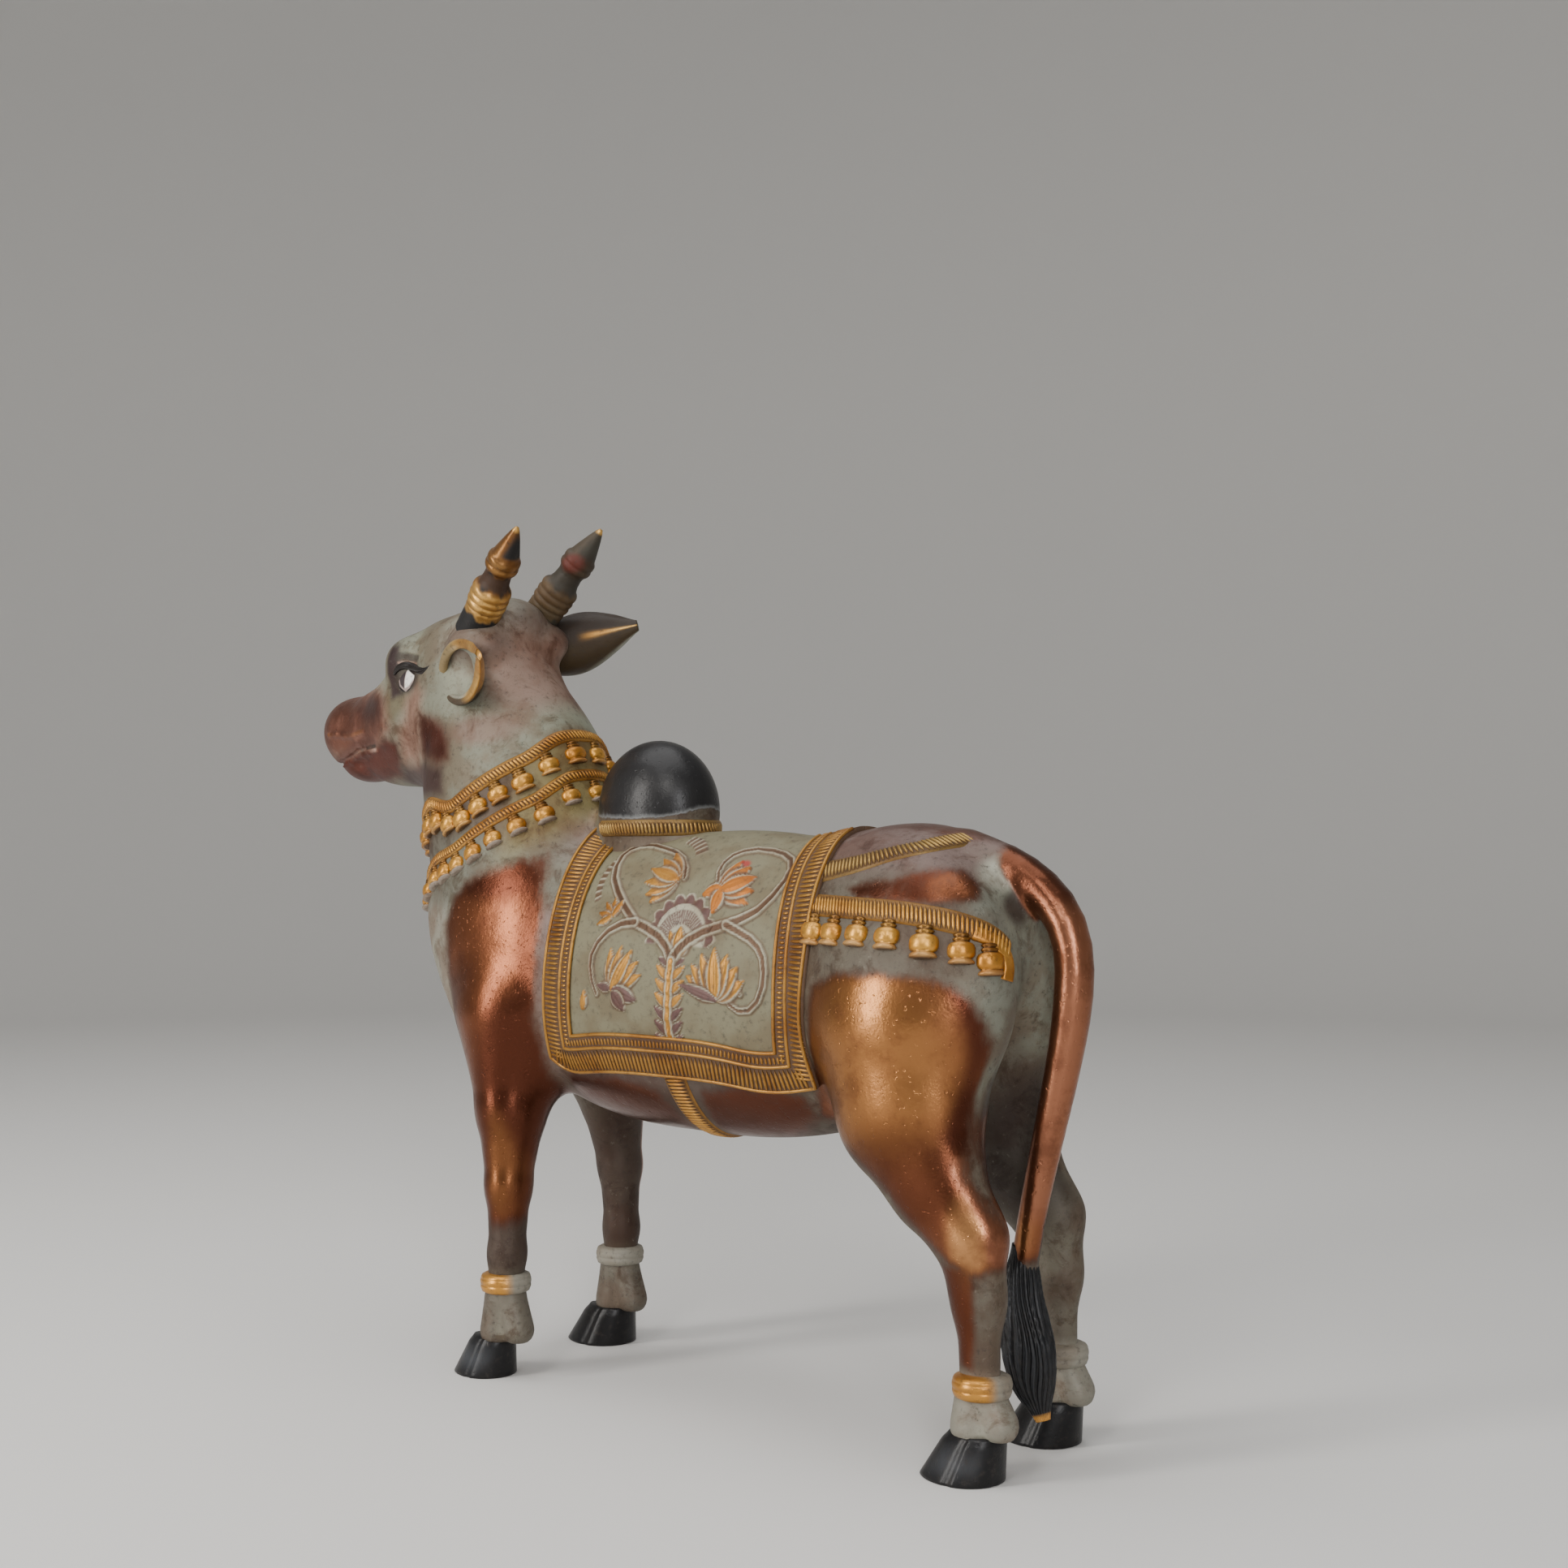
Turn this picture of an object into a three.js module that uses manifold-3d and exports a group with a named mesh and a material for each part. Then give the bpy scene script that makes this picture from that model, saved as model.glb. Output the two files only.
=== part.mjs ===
// A standing Nandi, the humped bull of South Asian temples, hollow cast in brass as one piece: body,
// hump, ringed horns, cupped ears and tail, with collars, saddle cloth, straps and bells in low relief.
//
// Lengths are millimetres. +X runs from muzzle to tail, -Y is the bull's left side and +Z is up.
// The form is laid out round the middle of its four hooves, and moved to the middle of its box last.
import * as THREE from 'three';
import { mergeVertices } from 'three/addons/utils/BufferGeometryUtils.js';
import Module from 'manifold-3d';

const wasm = await Module();
wasm.setup();

// How far the middle of the whole length and width lies from the middle of the hooves
const BOX_MIDDLE = { x: -71.7, y: -0.8 };

// Trunk: rounded masses, each with its middle and its three half sizes
const BARREL = { at: [-8, 0, 209], half: [150, 52, 76] };
const FORE_BARREL = { at: [-75, 0, 208], half: [95, 50, 68] };
const CHEST = { at: [-154, 0, 230], half: [57, 46, 68] };
const RUMP = { at: [100, 0, 238], half: [64, 44, 51] };
const HAUNCH = { at: [116, 27, 218], half: [53, 27, 54] };
const SHOULDER = { at: [-141, 28, 210], half: [45, 26, 66] };
const HUMP = { at: [-68, 0, 297], half: [36, 26, 37] };
const NECK = { route: [[-163, 0, 248], [-176, 0, 310], [-193, 0, 350]], radii: [61, 52, 45], flat: 0.78 };

// Head: the masses lie straight, and the whole head is rolled a little to its right
const HEAD_PIVOT = [-200, 0, 365];
const HEAD_ROLL = THREE.MathUtils.degToRad(6);
const CRANIUM = { at: [-205, 0, 368], half: [46, 36, 40] };
const CHEEK = { at: [-236, 0, 350], half: [46, 33, 38] };
const POLL = { at: [-182, 0, 401], half: [22, 25, 17] };
const HORN_SEAT = { at: [-180, 22.5, 391], half: [19, 15.5, 12.5] };
const CROWN = { at: [-208, 0, 398], half: [26, 24, 12.5] };
const FOREHEAD = { at: [-238, 0, 389], half: [32, 22, 16] };
const BROW = { at: [-243, 18.5, 386], half: [15, 12, 13] };
const NOSE = { route: [[-250, 0, 356], [-312, 0, 345]], radii: [30, 21], flat: 0.92 };
const MUZZLE = { at: [-316, 0, 349], half: [20, 20, 19] };
const CHIN = { at: [-304, 0, 329], half: [18, 16, 11] };
const JAW = { at: [-270, 0, 333], half: [34, 21, 18] };
const NOSTRIL = { at: [-331, 9, 353], half: [4, 4, 3] };
const MOUTH = [[-336, 0, 338], [-330, 12, 337], [-314, 20, 336], [-300, 22, 334], [-289, 24, 336]];
const EYE = { at: [-233, 28.5, 375.5], half: [8, 3.6, 4.6] };
const EYELID = { length: 21, height: 13, width: 2.4, lift: 1.1 };

// Ringed horn: radius at each share of its length
const HORN = { from: [-177.6, 22.3, 405.4], to: [-132.5, 31.5, 451], sides: 8 };
const HORN_OUTLINE = [[-0.12, 11], [0.12, 10.2], [0.17, 11.2], [0.36, 10.8], [0.40, 8.4], [0.51, 7.2],
  [0.58, 9.3], [0.69, 9.1], [0.74, 7.2], [1, 1.8]];

// Cupped ear: a leaf from its root to its tip, curled round a hollow that opens forwards and outwards;
// curl is how far each edge comes round at the root and at the tip, in degrees
const EAR = { root: [-189, 30.5, 380], tip: [-139, 60.3, 391.5], open: [-0.5, 0.86, -0.12], height: 13.3,
  cup: 7.8, curl: [150, 60], wall: 3.2, rows: 6, columns: 7, cant: [2.5, 0, 6.5] };

// Legs and tail: round limbs through named joints
const FORELEG = { route: [[-140, 34, 190], [-135, 42, 140], [-133, 46, 100], [-133, 47, 65], [-134, 47, 42]],
  radii: [30, 18, 11.5, 9.2, 9.5], flat: 1 };
const FORE_PASTERN = { route: [[-136.5, 47, 44], [-138, 47, 24]], radii: [9, 10.8], flat: 1 };
const FORE_DEWCLAW = { route: [[-130.5, 47, 44], [-124.5, 47, 26]], radii: [8, 8.4], flat: 1 };
const HINDLEG = { route: [[113, 30, 197], [118, 33, 160], [135, 36, 128], [154, 37, 106], [158, 37, 80],
  [159, 37, 42]], radii: [45, 34, 21, 15, 10.5, 9.5], flat: 0.75 };
const HIND_PASTERN = { route: [[157, 37, 38], [156.5, 37, 24]], radii: [9.4, 11.2], flat: 1 };
const HIND_DEWCLAW = { route: [[162, 37, 38], [169, 37, 26]], radii: [8.4, 8.6], flat: 1 };
const SOLE_OF_PASTERNS = 19;
const FAR_FORELEG_SHIFT = [6, 2];
const FAR_HINDLEG_SHIFT = [5, 2];
const FORE_ANKLET = { at: [-134, 47, 50], radius: 13.4, height: 11 };
const HIND_ANKLET = { at: [160, 37, 42], radius: 13.4, height: 11 };
const FORE_HOOF = { at: [-148, 47], far: [-152, 45], sizes: [0.9, 1.04] };
const HIND_HOOF = { at: [152, 37], far: [147, 35], sizes: [1, 1] };
const HOOF = { toe: 23, heel: 17, half: 17, height: 21, lean: 7, narrowing: 7, cleft: 5, sides: 12 };
const TAIL = { route: [[128, 0, 274], [150, 0, 268.5], [168, 0, 258], [179, 0, 245], [184, 0, 228],
  [183, 0, 205], [178, 0, 178], [170, 0, 145], [163, 0, 115], [158, 0, 88]],
radii: [10, 9.5, 9, 8.8, 8.8, 8, 7.4, 6.8, 6.3, 6.3], flat: 1 };
const TUFT = { route: [[158, 0, 98], [157, 0, 84], [157, 0, 70], [160, 0, 52], [163, 0, 36], [168, 0, 20]],
  radii: [5.5, 8, 10.4, 11.8, 9.8, 2.5], locks: 7, groove: 0.18 };

// Saddle cloth, laid out by x and by the way down from the spine, on both sides
const CLOTH = { front: -103, back: 68, drop: 146, lift: 1.6, bow: 5, columns: 6, rows: 19 };
const BORDER = { wide: 13, gap: 1.2, narrow: 5, lift: 2.7, sink: 0.4, overlap: 3, step: 0.15 };
const GIRTH_AXIS_Z = 215;
const RIDGE = { width: 3.4, lift: 3.1 };
const STEM = [[-13, 127], [-15, 106], [-14.5, 87]];
const SCROLLS = [
  { start: [-15.5, 88], middle: [-43, 47], radius: 24, from: 68, turn: 262 },
  { start: [-42, 70], middle: [-46, 94], radius: 20.5, from: 80, turn: 165 },
  { start: [-13.6, 88.5], middle: [23, 46], radius: 21, from: 55, turn: -245 },
  { start: [20, 67], middle: [19, 92], radius: 21, from: 75, turn: -200 },
];
const FLOWERS = [
  { base: [-22, 47], aim: 178, petals: 5, length: 20 },
  { base: [6, 50], aim: 20, petals: 5, length: 22 },
  { base: [-52, 102], aim: 50, petals: 5, length: 21 },
  { base: [15, 103], aim: 90, petals: 5, length: 23 },
];
const PETAL = { space: 1.5, width: 6.2, fan: 30, crest: 3.4 };
const PALMETTE = { base: [-11, 80], petals: 7, length: 22, width: 8, spread: 150, crest: 2.8 };
const STEM_LEAF = { x: -14.5, aims: [40, 140], count: 4, length: 10, width: 5, first: 92, pitch: 8.5,
  crest: 2.8 };

// Straps, bands and bells
const COLLAR_TILT = THREE.MathUtils.degToRad(31);
const COLLAR_NAPE_LIFT = 6;
const COLLAR_THROAT_LIFT = { low: 6, high: 15, levels: [330, 345] };
const ROPE_BANDS = [{ level: 349, width: 7.4 }, { level: 326.5, width: 6.4 }];
const DROP_OUTLINE = [[0, 0.25], [0.65, 0.56], [1, 0.35]];
const BELL_ROWS = [{ level: 339.2, drop: 12, width: 10.2, outline: DROP_OUTLINE, sides: 4 },
  { level: 317.2, drop: 11.8, width: 9.4, outline: DROP_OUTLINE, sides: 4 }];
const BELL_SINK = 0.17;
const COLLAR_BELLS = 24;
const BAND_STATIONS = 22;
const BAND_LIFT = 1.8;
const BAND_SINK = 4;
const HUMP_BAND = { middle: [-67, 0], half: [38.5, 28.5], width: 9, lift: 2.6, stations: 18 };
const GIRTH = { x: -17, width: 14, lift: 1.6, stations: 9 };
const UPPER_STRAP = { route: [[70, 34, 268], [90, 35, 271], [107, 31, 276], [121, 24, 280], [136, 13, 281]],
  width: 9, stations: 7 };
const LOWER_STRAP = { route: [[68, 43, 251], [100, 50, 250], [128, 49, 248], [150, 42.5, 244],
  [162, 35, 239], [168, 28, 233]], width: 10.5, stations: 9 };
const RUMP_BELLS = { x: [74, 89, 104.5, 121, 137, 152, 162], below: 3.5, drop: 15, width: 12, sides: 6,
  outline: [[0, 0.26], [0.35, 0.34], [0.75, 0.54], [1, 0.36]] };

const FLESH_STEP = 3;
const FLESH_BOX = { low: [-348, -72, -6], high: [204, 72, 432] };
const FLESH_TRIANGLES = 3300;
const STATUE_TRIANGLES = 9800;

// Smooth union of two distances
function meld(a, b, k) {
  const h = Math.max(k - Math.abs(a - b), 0) / k;
  return Math.min(a, b) - h * h * k * 0.25;
}

function mass({ at: [cx, cy, cz], half: [rx, ry, rz] }) {
  return (x, y, z) => {
    const qx = (x - cx) / rx;
    const qy = (y - cy) / ry;
    const qz = (z - cz) / rz;
    const k0 = Math.hypot(qx, qy, qz);
    const k1 = Math.hypot(qx / rx, qy / ry, qz / rz);
    return k0 * (k0 - 1) / Math.max(k1, 1e-6);
  };
}

// Distance to a cone between two balls, made flatter across by the share flat
function taper(a, b, ra, rb, flat) {
  const ab = [b[0] - a[0], (b[1] - a[1]) / flat, b[2] - a[2]];
  const length2 = ab[0] ** 2 + ab[1] ** 2 + ab[2] ** 2;
  const rise = ra - rb;
  const side2 = length2 - rise * rise;
  return (x, y, z) => {
    const p = [x - a[0], (y - a[1]) / flat, z - a[2]];
    const along = p[0] * ab[0] + p[1] * ab[1] + p[2] * ab[2];
    const past = along - length2;
    let out2 = 0;
    for (let i = 0; i < 3; i += 1) out2 += (p[i] * length2 - along * ab[i]) ** 2;
    const k = Math.sign(rise) * rise * rise * out2;
    const along2 = along * along * length2;
    const past2 = past * past * length2;
    let d = (Math.sqrt(out2 * side2 / length2) + along * rise) / length2 - ra;
    if (Math.sign(past) * side2 * past2 > k) d = Math.sqrt(out2 + past2) / length2 - rb;
    else if (Math.sign(along) * side2 * along2 < k) d = Math.sqrt(out2 + along2) / length2 - ra;
    return d * flat;
  };
}

function limb({ route, radii, flat }, k) {
  const bones = route.slice(1).map((end, i) => taper(route[i], end, radii[i], radii[i + 1], flat));
  return (x, y, z) => bones.reduce((d, bone, i) => (i ? meld(d, bone(x, y, z), k) : bone(x, y, z)), 0);
}

// Turns a point of the statue into the straight head's own frame
function straighten(x, y, z) {
  const dy = y - HEAD_PIVOT[1];
  const dz = z - HEAD_PIVOT[2];
  const c = Math.cos(HEAD_ROLL);
  const s = Math.sin(HEAD_ROLL);
  return [x, HEAD_PIVOT[1] + dy * c + dz * s, HEAD_PIVOT[2] - dy * s + dz * c];
}

const form = Object.fromEntries(Object.entries({
  BARREL, FORE_BARREL, CHEST, RUMP, HAUNCH, SHOULDER, HUMP, CRANIUM, CHEEK, POLL, HORN_SEAT, CROWN, FOREHEAD, BROW,
  MUZZLE, CHIN, JAW,
}).map(([name, size]) => [name, mass(size)]));
const neck = limb(NECK, 20);
const nose = limb(NOSE, 14);
const foreleg = limb(FORELEG, 6);
const hindleg = limb(HINDLEG, 10);
const forePastern = limb(FORE_PASTERN, 4);
const foreDewclaw = limb(FORE_DEWCLAW, 4);
const hindPastern = limb(HIND_PASTERN, 4);
const hindDewclaw = limb(HIND_DEWCLAW, 4);
const tail = limb(TAIL, 3);

// The trunk and neck without hump, head, legs or tail: what cloth and bands are laid on
function trunk(x, y, z) {
  const w = Math.abs(y);
  let d = meld(form.BARREL(x, y, z), form.FORE_BARREL(x, y, z), 20);
  d = meld(d, form.CHEST(x, y, z), 30);
  d = meld(d, form.RUMP(x, y, z), 25);
  d = meld(d, form.HAUNCH(x, w, z), 14);
  d = meld(d, form.SHOULDER(x, w, z), 14);
  return meld(d, neck(x, y, z), 30);
}

function head(x, y, z) {
  const [hx, hy, hz] = straighten(x, y, z);
  let d = meld(form.CRANIUM(hx, hy, hz), form.CHEEK(hx, hy, hz), 12);
  d = meld(d, form.POLL(hx, hy, hz), 12);
  d = meld(d, form.HORN_SEAT(hx, Math.abs(hy), hz), 8);
  d = meld(d, form.CROWN(hx, hy, hz), 10);
  d = meld(d, form.FOREHEAD(hx, hy, hz), 12);
  d = meld(d, form.BROW(hx, Math.abs(hy), hz), 8);
  d = meld(d, nose(hx, hy, hz), 14);
  d = meld(d, form.MUZZLE(hx, hy, hz), 8);
  d = meld(d, form.JAW(hx, hy, hz), 8);
  return meld(d, form.CHIN(hx, hy, hz), 5);
}

// A leg ends in a pastern and a dewclaw behind it, with a crease between the two
function footed(leg, pastern, dewclaw, at) {
  return meld(leg(...at), meld(pastern(...at), dewclaw(...at), 1.5), 3);
}

// The legs stand alike on both sides, but those on the right are a little ahead and further in
function legs(x, y, z) {
  const w = Math.abs(y);
  const [fx, fy] = y > 0 ? FAR_FORELEG_SHIFT : [0, 0];
  const [hx, hy] = y > 0 ? FAR_HINDLEG_SHIFT : [0, 0];
  return [footed(foreleg, forePastern, foreDewclaw, [x + fx, w + fy, z]),
    footed(hindleg, hindPastern, hindDewclaw, [x + hx, w + hy, z])];
}

function flesh(x, y, z) {
  const [fore, hind] = legs(x, y, z);
  let d = meld(trunk(x, y, z), form.HUMP(x, y, z), 8);
  d = meld(d, head(x, y, z), 12);
  d = meld(d, fore, 14);
  d = meld(d, hind, 14);
  d = meld(d, tail(x, y, z), 8);
  return -meld(-d, z - SOLE_OF_PASTERNS, 2);
}

function outward(field, p) {
  const e = 0.5;
  return new THREE.Vector3(
    field(p.x + e, p.y, p.z) - field(p.x - e, p.y, p.z),
    field(p.x, p.y + e, p.z) - field(p.x, p.y - e, p.z),
    field(p.x, p.y, p.z + e) - field(p.x, p.y, p.z - e),
  ).normalize();
}

// Moves a point near the skin onto it
function settle(field, point) {
  const p = point.clone();
  for (let i = 0; i < 12; i += 1) p.addScaledVector(outward(field, p), -0.8 * field(p.x, p.y, p.z));
  return p;
}

// First skin point from a point inside, along a direction
function cast(field, from, direction, reach) {
  let low = 0;
  let high = reach;
  const p = new THREE.Vector3();
  for (let i = 0; i < 26; i += 1) {
    const middle = (low + high) / 2;
    p.copy(from).addScaledVector(direction, middle);
    if (field(p.x, p.y, p.z) < 0) low = middle;
    else high = middle;
  }
  return p.copy(from).addScaledVector(direction, low);
}

// Meshes the skin of a field: one vertex for each cell that the skin crosses, one quad for each edge
function skin(field, { low, high }, step) {
  const n = low.map((v, i) => Math.ceil((high[i] - v) / step) + 1);
  const at = (i, j, k) => (i * n[1] + j) * n[2] + k;
  const value = new Float32Array(n[0] * n[1] * n[2]);
  for (let i = 0; i < n[0]; i += 1) {
    for (let j = 0; j < n[1]; j += 1) {
      for (let k = 0; k < n[2]; k += 1) {
        value[at(i, j, k)] = field(low[0] + i * step, low[1] + j * step, low[2] + k * step);
      }
    }
  }
  const points = [];
  const faces = [];
  const owner = new Int32Array(value.length).fill(-1);
  const corners = [...Array(8).keys()].map((c) => [c & 1, (c >> 1) & 1, (c >> 2) & 1]);
  const edges = corners.flatMap((a, c) => [1, 2, 4].filter((bit) => !(c & bit)).map((bit) => [c, c | bit]));
  for (let i = 0; i < n[0] - 1; i += 1) {
    for (let j = 0; j < n[1] - 1; j += 1) {
      for (let k = 0; k < n[2] - 1; k += 1) {
        const v = corners.map(([a, b, c]) => value[at(i + a, j + b, k + c)]);
        const inside = v.filter((d) => d < 0).length;
        if (inside === 0 || inside === 8) continue;
        const sum = [0, 0, 0];
        let count = 0;
        for (const [a, b] of edges) {
          if ((v[a] < 0) === (v[b] < 0)) continue;
          const t = v[a] / (v[a] - v[b]);
          for (let m = 0; m < 3; m += 1) sum[m] += corners[a][m] + t * (corners[b][m] - corners[a][m]);
          count += 1;
        }
        owner[at(i, j, k)] = points.length;
        points.push([i, j, k].map((cell, m) => low[m] + step * (cell + sum[m] / count)));
      }
    }
  }
  const axes = [[1, 0, 0], [0, 1, 0], [0, 0, 1]];
  for (let i = 1; i < n[0] - 1; i += 1) {
    for (let j = 1; j < n[1] - 1; j += 1) {
      for (let k = 1; k < n[2] - 1; k += 1) {
        axes.forEach(([a, b, c], m) => {
          const here = value[at(i, j, k)] < 0;
          if (here === value[at(i + a, j + b, k + c)] < 0) return;
          const [u, w] = [axes[(m + 1) % 3], axes[(m + 2) % 3]];
          const quad = [[0, 0], [1, 0], [1, 1], [0, 1]].map(([s, t]) => owner[at(
            i - s * u[0] - t * w[0], j - s * u[1] - t * w[1], k - s * u[2] - t * w[2])]);
          if (!here) quad.reverse();
          faces.push([quad[0], quad[1], quad[2]], [quad[0], quad[2], quad[3]]);
        });
      }
    }
  }
  return { points, faces };
}

// Triangles lower than this have no sure direction, and those under this fullness are slivers
const SURE_HEIGHT = 0.12;
const SLIVER_FULLNESS = 0.12;
const TINY_EDGE = 0.08;

// Squared distance to a plane, as the ten terms of a quadric
function planeQuadric(a, b, c) {
  const ab = new THREE.Vector3().subVectors(b, a);
  const ac = new THREE.Vector3().subVectors(c, a);
  const n = ab.cross(ac);
  const area = n.length();
  n.divideScalar(Math.max(area, 1e-12));
  const d = -n.dot(a);
  const v = [n.x, n.y, n.z, d];
  const terms = [];
  for (let i = 0; i < 4; i += 1) for (let j = i; j < 4; j += 1) terms.push(v[i] * v[j] * area);
  return terms;
}

function quadricError(q, p) {
  return q[0] * p.x * p.x + 2 * q[1] * p.x * p.y + 2 * q[2] * p.x * p.z + 2 * q[3] * p.x
    + q[4] * p.y * p.y + 2 * q[5] * p.y * p.z + 2 * q[6] * p.y
    + q[7] * p.z * p.z + 2 * q[8] * p.z + q[9];
}

// Best place for a merged vertex: least error, drawn a little to the middle of its edge
function bestPlace(q, middle) {
  const pull = 1e-3 * (q[0] + q[4] + q[7]) + 1e-9;
  const m = new THREE.Matrix3();
  m.set(q[0] + pull, q[1], q[2], q[1], q[4] + pull, q[5], q[2], q[5], q[7] + pull);
  const r = new THREE.Vector3(-q[3], -q[6], -q[8]).addScaledVector(middle, pull);
  return r.applyMatrix3(m.invert());
}

// Merges edges, cheapest first, until the mesh has the wanted number of triangles
function thin({ points, faces }, wanted) {
  const place = points.map((p) => new THREE.Vector3(...p));
  const around = place.map(() => new Set());
  const quadric = place.map(() => new Array(10).fill(0));
  faces.forEach((face, f) => {
    const terms = planeQuadric(...face.map((v) => place[v]));
    for (const v of face) {
      around[v].add(f);
      terms.forEach((term, i) => { quadric[v][i] += term; });
    }
  });
  const stamp = new Int32Array(place.length);
  const heap = [];
  const push = (item) => {
    let i = heap.push(item) - 1;
    while (i > 0) {
      const parent = (i - 1) >> 1;
      if (heap[parent].cost <= heap[i].cost) break;
      [heap[parent], heap[i]] = [heap[i], heap[parent]];
      i = parent;
    }
  };
  const pop = () => {
    const top = heap[0];
    const last = heap.pop();
    if (heap.length) {
      heap[0] = last;
      let i = 0;
      for (;;) {
        let least = i;
        for (const child of [2 * i + 1, 2 * i + 2]) {
          if (child < heap.length && heap[child].cost < heap[least].cost) least = child;
        }
        if (least === i) break;
        [heap[least], heap[i]] = [heap[i], heap[least]];
        i = least;
      }
    }
    return top;
  };
  const neighbours = (v) => new Set([...around[v]].flatMap((f) => faces[f].filter((w) => w !== v)));
  const offer = (a, b) => {
    const q = quadric[a].map((term, i) => term + quadric[b][i]);
    const middle = new THREE.Vector3().addVectors(place[a], place[b]).multiplyScalar(0.5);
    const p = bestPlace(q, middle);
    const tiny = place[a].distanceTo(place[b]) < TINY_EDGE;
    const cost = tiny ? 0 : quadricError(q, p) + 1e-4 * place[a].distanceToSquared(place[b]);
    push({ a, b, p: tiny ? middle : p, q, cost, tiny, stampA: stamp[a], stampB: stamp[b] });
  };
  const measure = (corners) => {
    const [a, b, c] = corners;
    const normal = new THREE.Vector3().subVectors(b, a).cross(new THREE.Vector3().subVectors(c, a));
    const longest = Math.max(...corners.map((w, i) => w.distanceToSquared(corners[(i + 1) % 3])));
    const area = normal.length();
    return { normal, area, height: area / Math.sqrt(longest), fullness: area / longest };
  };
  const keepsShape = (v, other, p) => [...around[v]].every((f) => {
    if (faces[f].includes(other)) return true;
    const before = measure(faces[f].map((w) => place[w]));
    const after = measure(faces[f].map((w) => (w === v ? p : place[w])));
    const turned = before.normal.dot(after.normal) < 0.3 * before.area * after.area;
    if (turned && before.height > SURE_HEIGHT) return false;
    return after.fullness > Math.min(SLIVER_FULLNESS, 0.8 * before.fullness);
  });
  place.forEach((_, v) => neighbours(v).forEach((w) => { if (v < w) offer(v, w); }));
  let left = faces.length;
  while (left > wanted && heap.length) {
    const { a, b, p, q, tiny, stampA, stampB } = pop();
    if (stamp[a] !== stampA || stamp[b] !== stampB) continue;
    const ringB = neighbours(b);
    if ([...neighbours(a)].filter((v) => ringB.has(v)).length !== 2) continue;
    if (!tiny && !(keepsShape(a, b, p) && keepsShape(b, a, p))) continue;
    for (const f of [...around[b]]) {
      if (faces[f].includes(a)) {
        faces[f].forEach((v) => around[v].delete(f));
        faces[f] = null;
        left -= 1;
      } else {
        faces[f] = faces[f].map((v) => (v === b ? a : v));
        around[a].add(f);
      }
    }
    around[b].clear();
    place[a] = p;
    quadric[a] = q;
    stamp[a] += 1;
    stamp[b] = -1;
    neighbours(a).forEach((v) => offer(Math.min(a, v), Math.max(a, v)));
  }
  const kept = faces.filter(Boolean);
  const used = [...new Set(kept.flat())];
  const number = new Map(used.map((v, i) => [v, i]));
  return {
    points: used.map((v) => place[v].toArray()),
    faces: kept.map((face) => face.map((v) => number.get(v))),
  };
}

// A closed mesh as a solid, turned right way out
function solid({ points, faces }) {
  let volume = 0;
  const [a, b, c] = [new THREE.Vector3(), new THREE.Vector3(), new THREE.Vector3()];
  for (const [i, j, k] of faces) {
    volume += a.fromArray(points[i]).dot(b.fromArray(points[j]).cross(c.fromArray(points[k])));
  }
  const geometry = new THREE.BufferGeometry();
  geometry.setAttribute('position', new THREE.Float32BufferAttribute(points.flat(), 3));
  geometry.setIndex((volume > 0 ? faces : faces.map(([i, j, k]) => [i, k, j])).flat());
  return toSolid(geometry);
}

function toSolid(geometry) {
  const bare = geometry.clone();
  bare.deleteAttribute('normal');
  bare.deleteAttribute('uv');
  const merged = mergeVertices(bare, 1e-4);
  return new wasm.Manifold(new wasm.Mesh({
    numProp: 3,
    vertProperties: new Float32Array(merged.attributes.position.array),
    triVerts: new Uint32Array(merged.index.array),
  }));
}

// A solid through like sections of points: the first half of a section faces the second half
function loft(sections, loop = false) {
  const n = sections[0].length;
  const points = sections.flat().map((p) => p.toArray());
  const faces = [];
  const turns = loop ? sections.length : sections.length - 1;
  for (let s = 0; s < turns; s += 1) {
    const next = ((s + 1) % sections.length) * n;
    for (let i = 0; i < n; i += 1) {
      const j = (i + 1) % n;
      faces.push([s * n + i, s * n + j, next + j], [s * n + i, next + j, next + i]);
    }
  }
  if (!loop) {
    const end = (sections.length - 1) * n;
    for (let i = 0; i < n / 2 - 1; i += 1) {
      const ladder = [[i, n - 1 - i, i + 1], [i + 1, n - 1 - i, n - 2 - i]];
      for (const [a, b, c] of ladder) faces.push([a, b, c], [end + a, end + c, end + b]);
    }
  }
  return solid({ points, faces });
}

// A round section across a direction, with points from half a step on
function ring(middle, direction, radius, sides, shape = () => 1) {
  const up = Math.abs(direction.z) > 0.9 ? new THREE.Vector3(1, 0, 0) : new THREE.Vector3(0, 0, 1);
  const u = new THREE.Vector3().crossVectors(up, direction).normalize();
  const w = new THREE.Vector3().crossVectors(direction, u).normalize();
  return [...Array(sides).keys()].map((i) => {
    const turn = (i + 0.5) / sides * 2 * Math.PI;
    const r = radius * shape(i);
    return middle.clone().addScaledVector(u, r * Math.cos(turn)).addScaledVector(w, r * Math.sin(turn));
  });
}

function vector([x, y, z], side = 1) {
  return new THREE.Vector3(x, y * side, z);
}

// Rolls a point of the straight head with the head
function roll(p) {
  const pivot = new THREE.Vector3(...HEAD_PIVOT);
  return p.clone().sub(pivot).applyAxisAngle(new THREE.Vector3(1, 0, 0), HEAD_ROLL).add(pivot);
}

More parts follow.
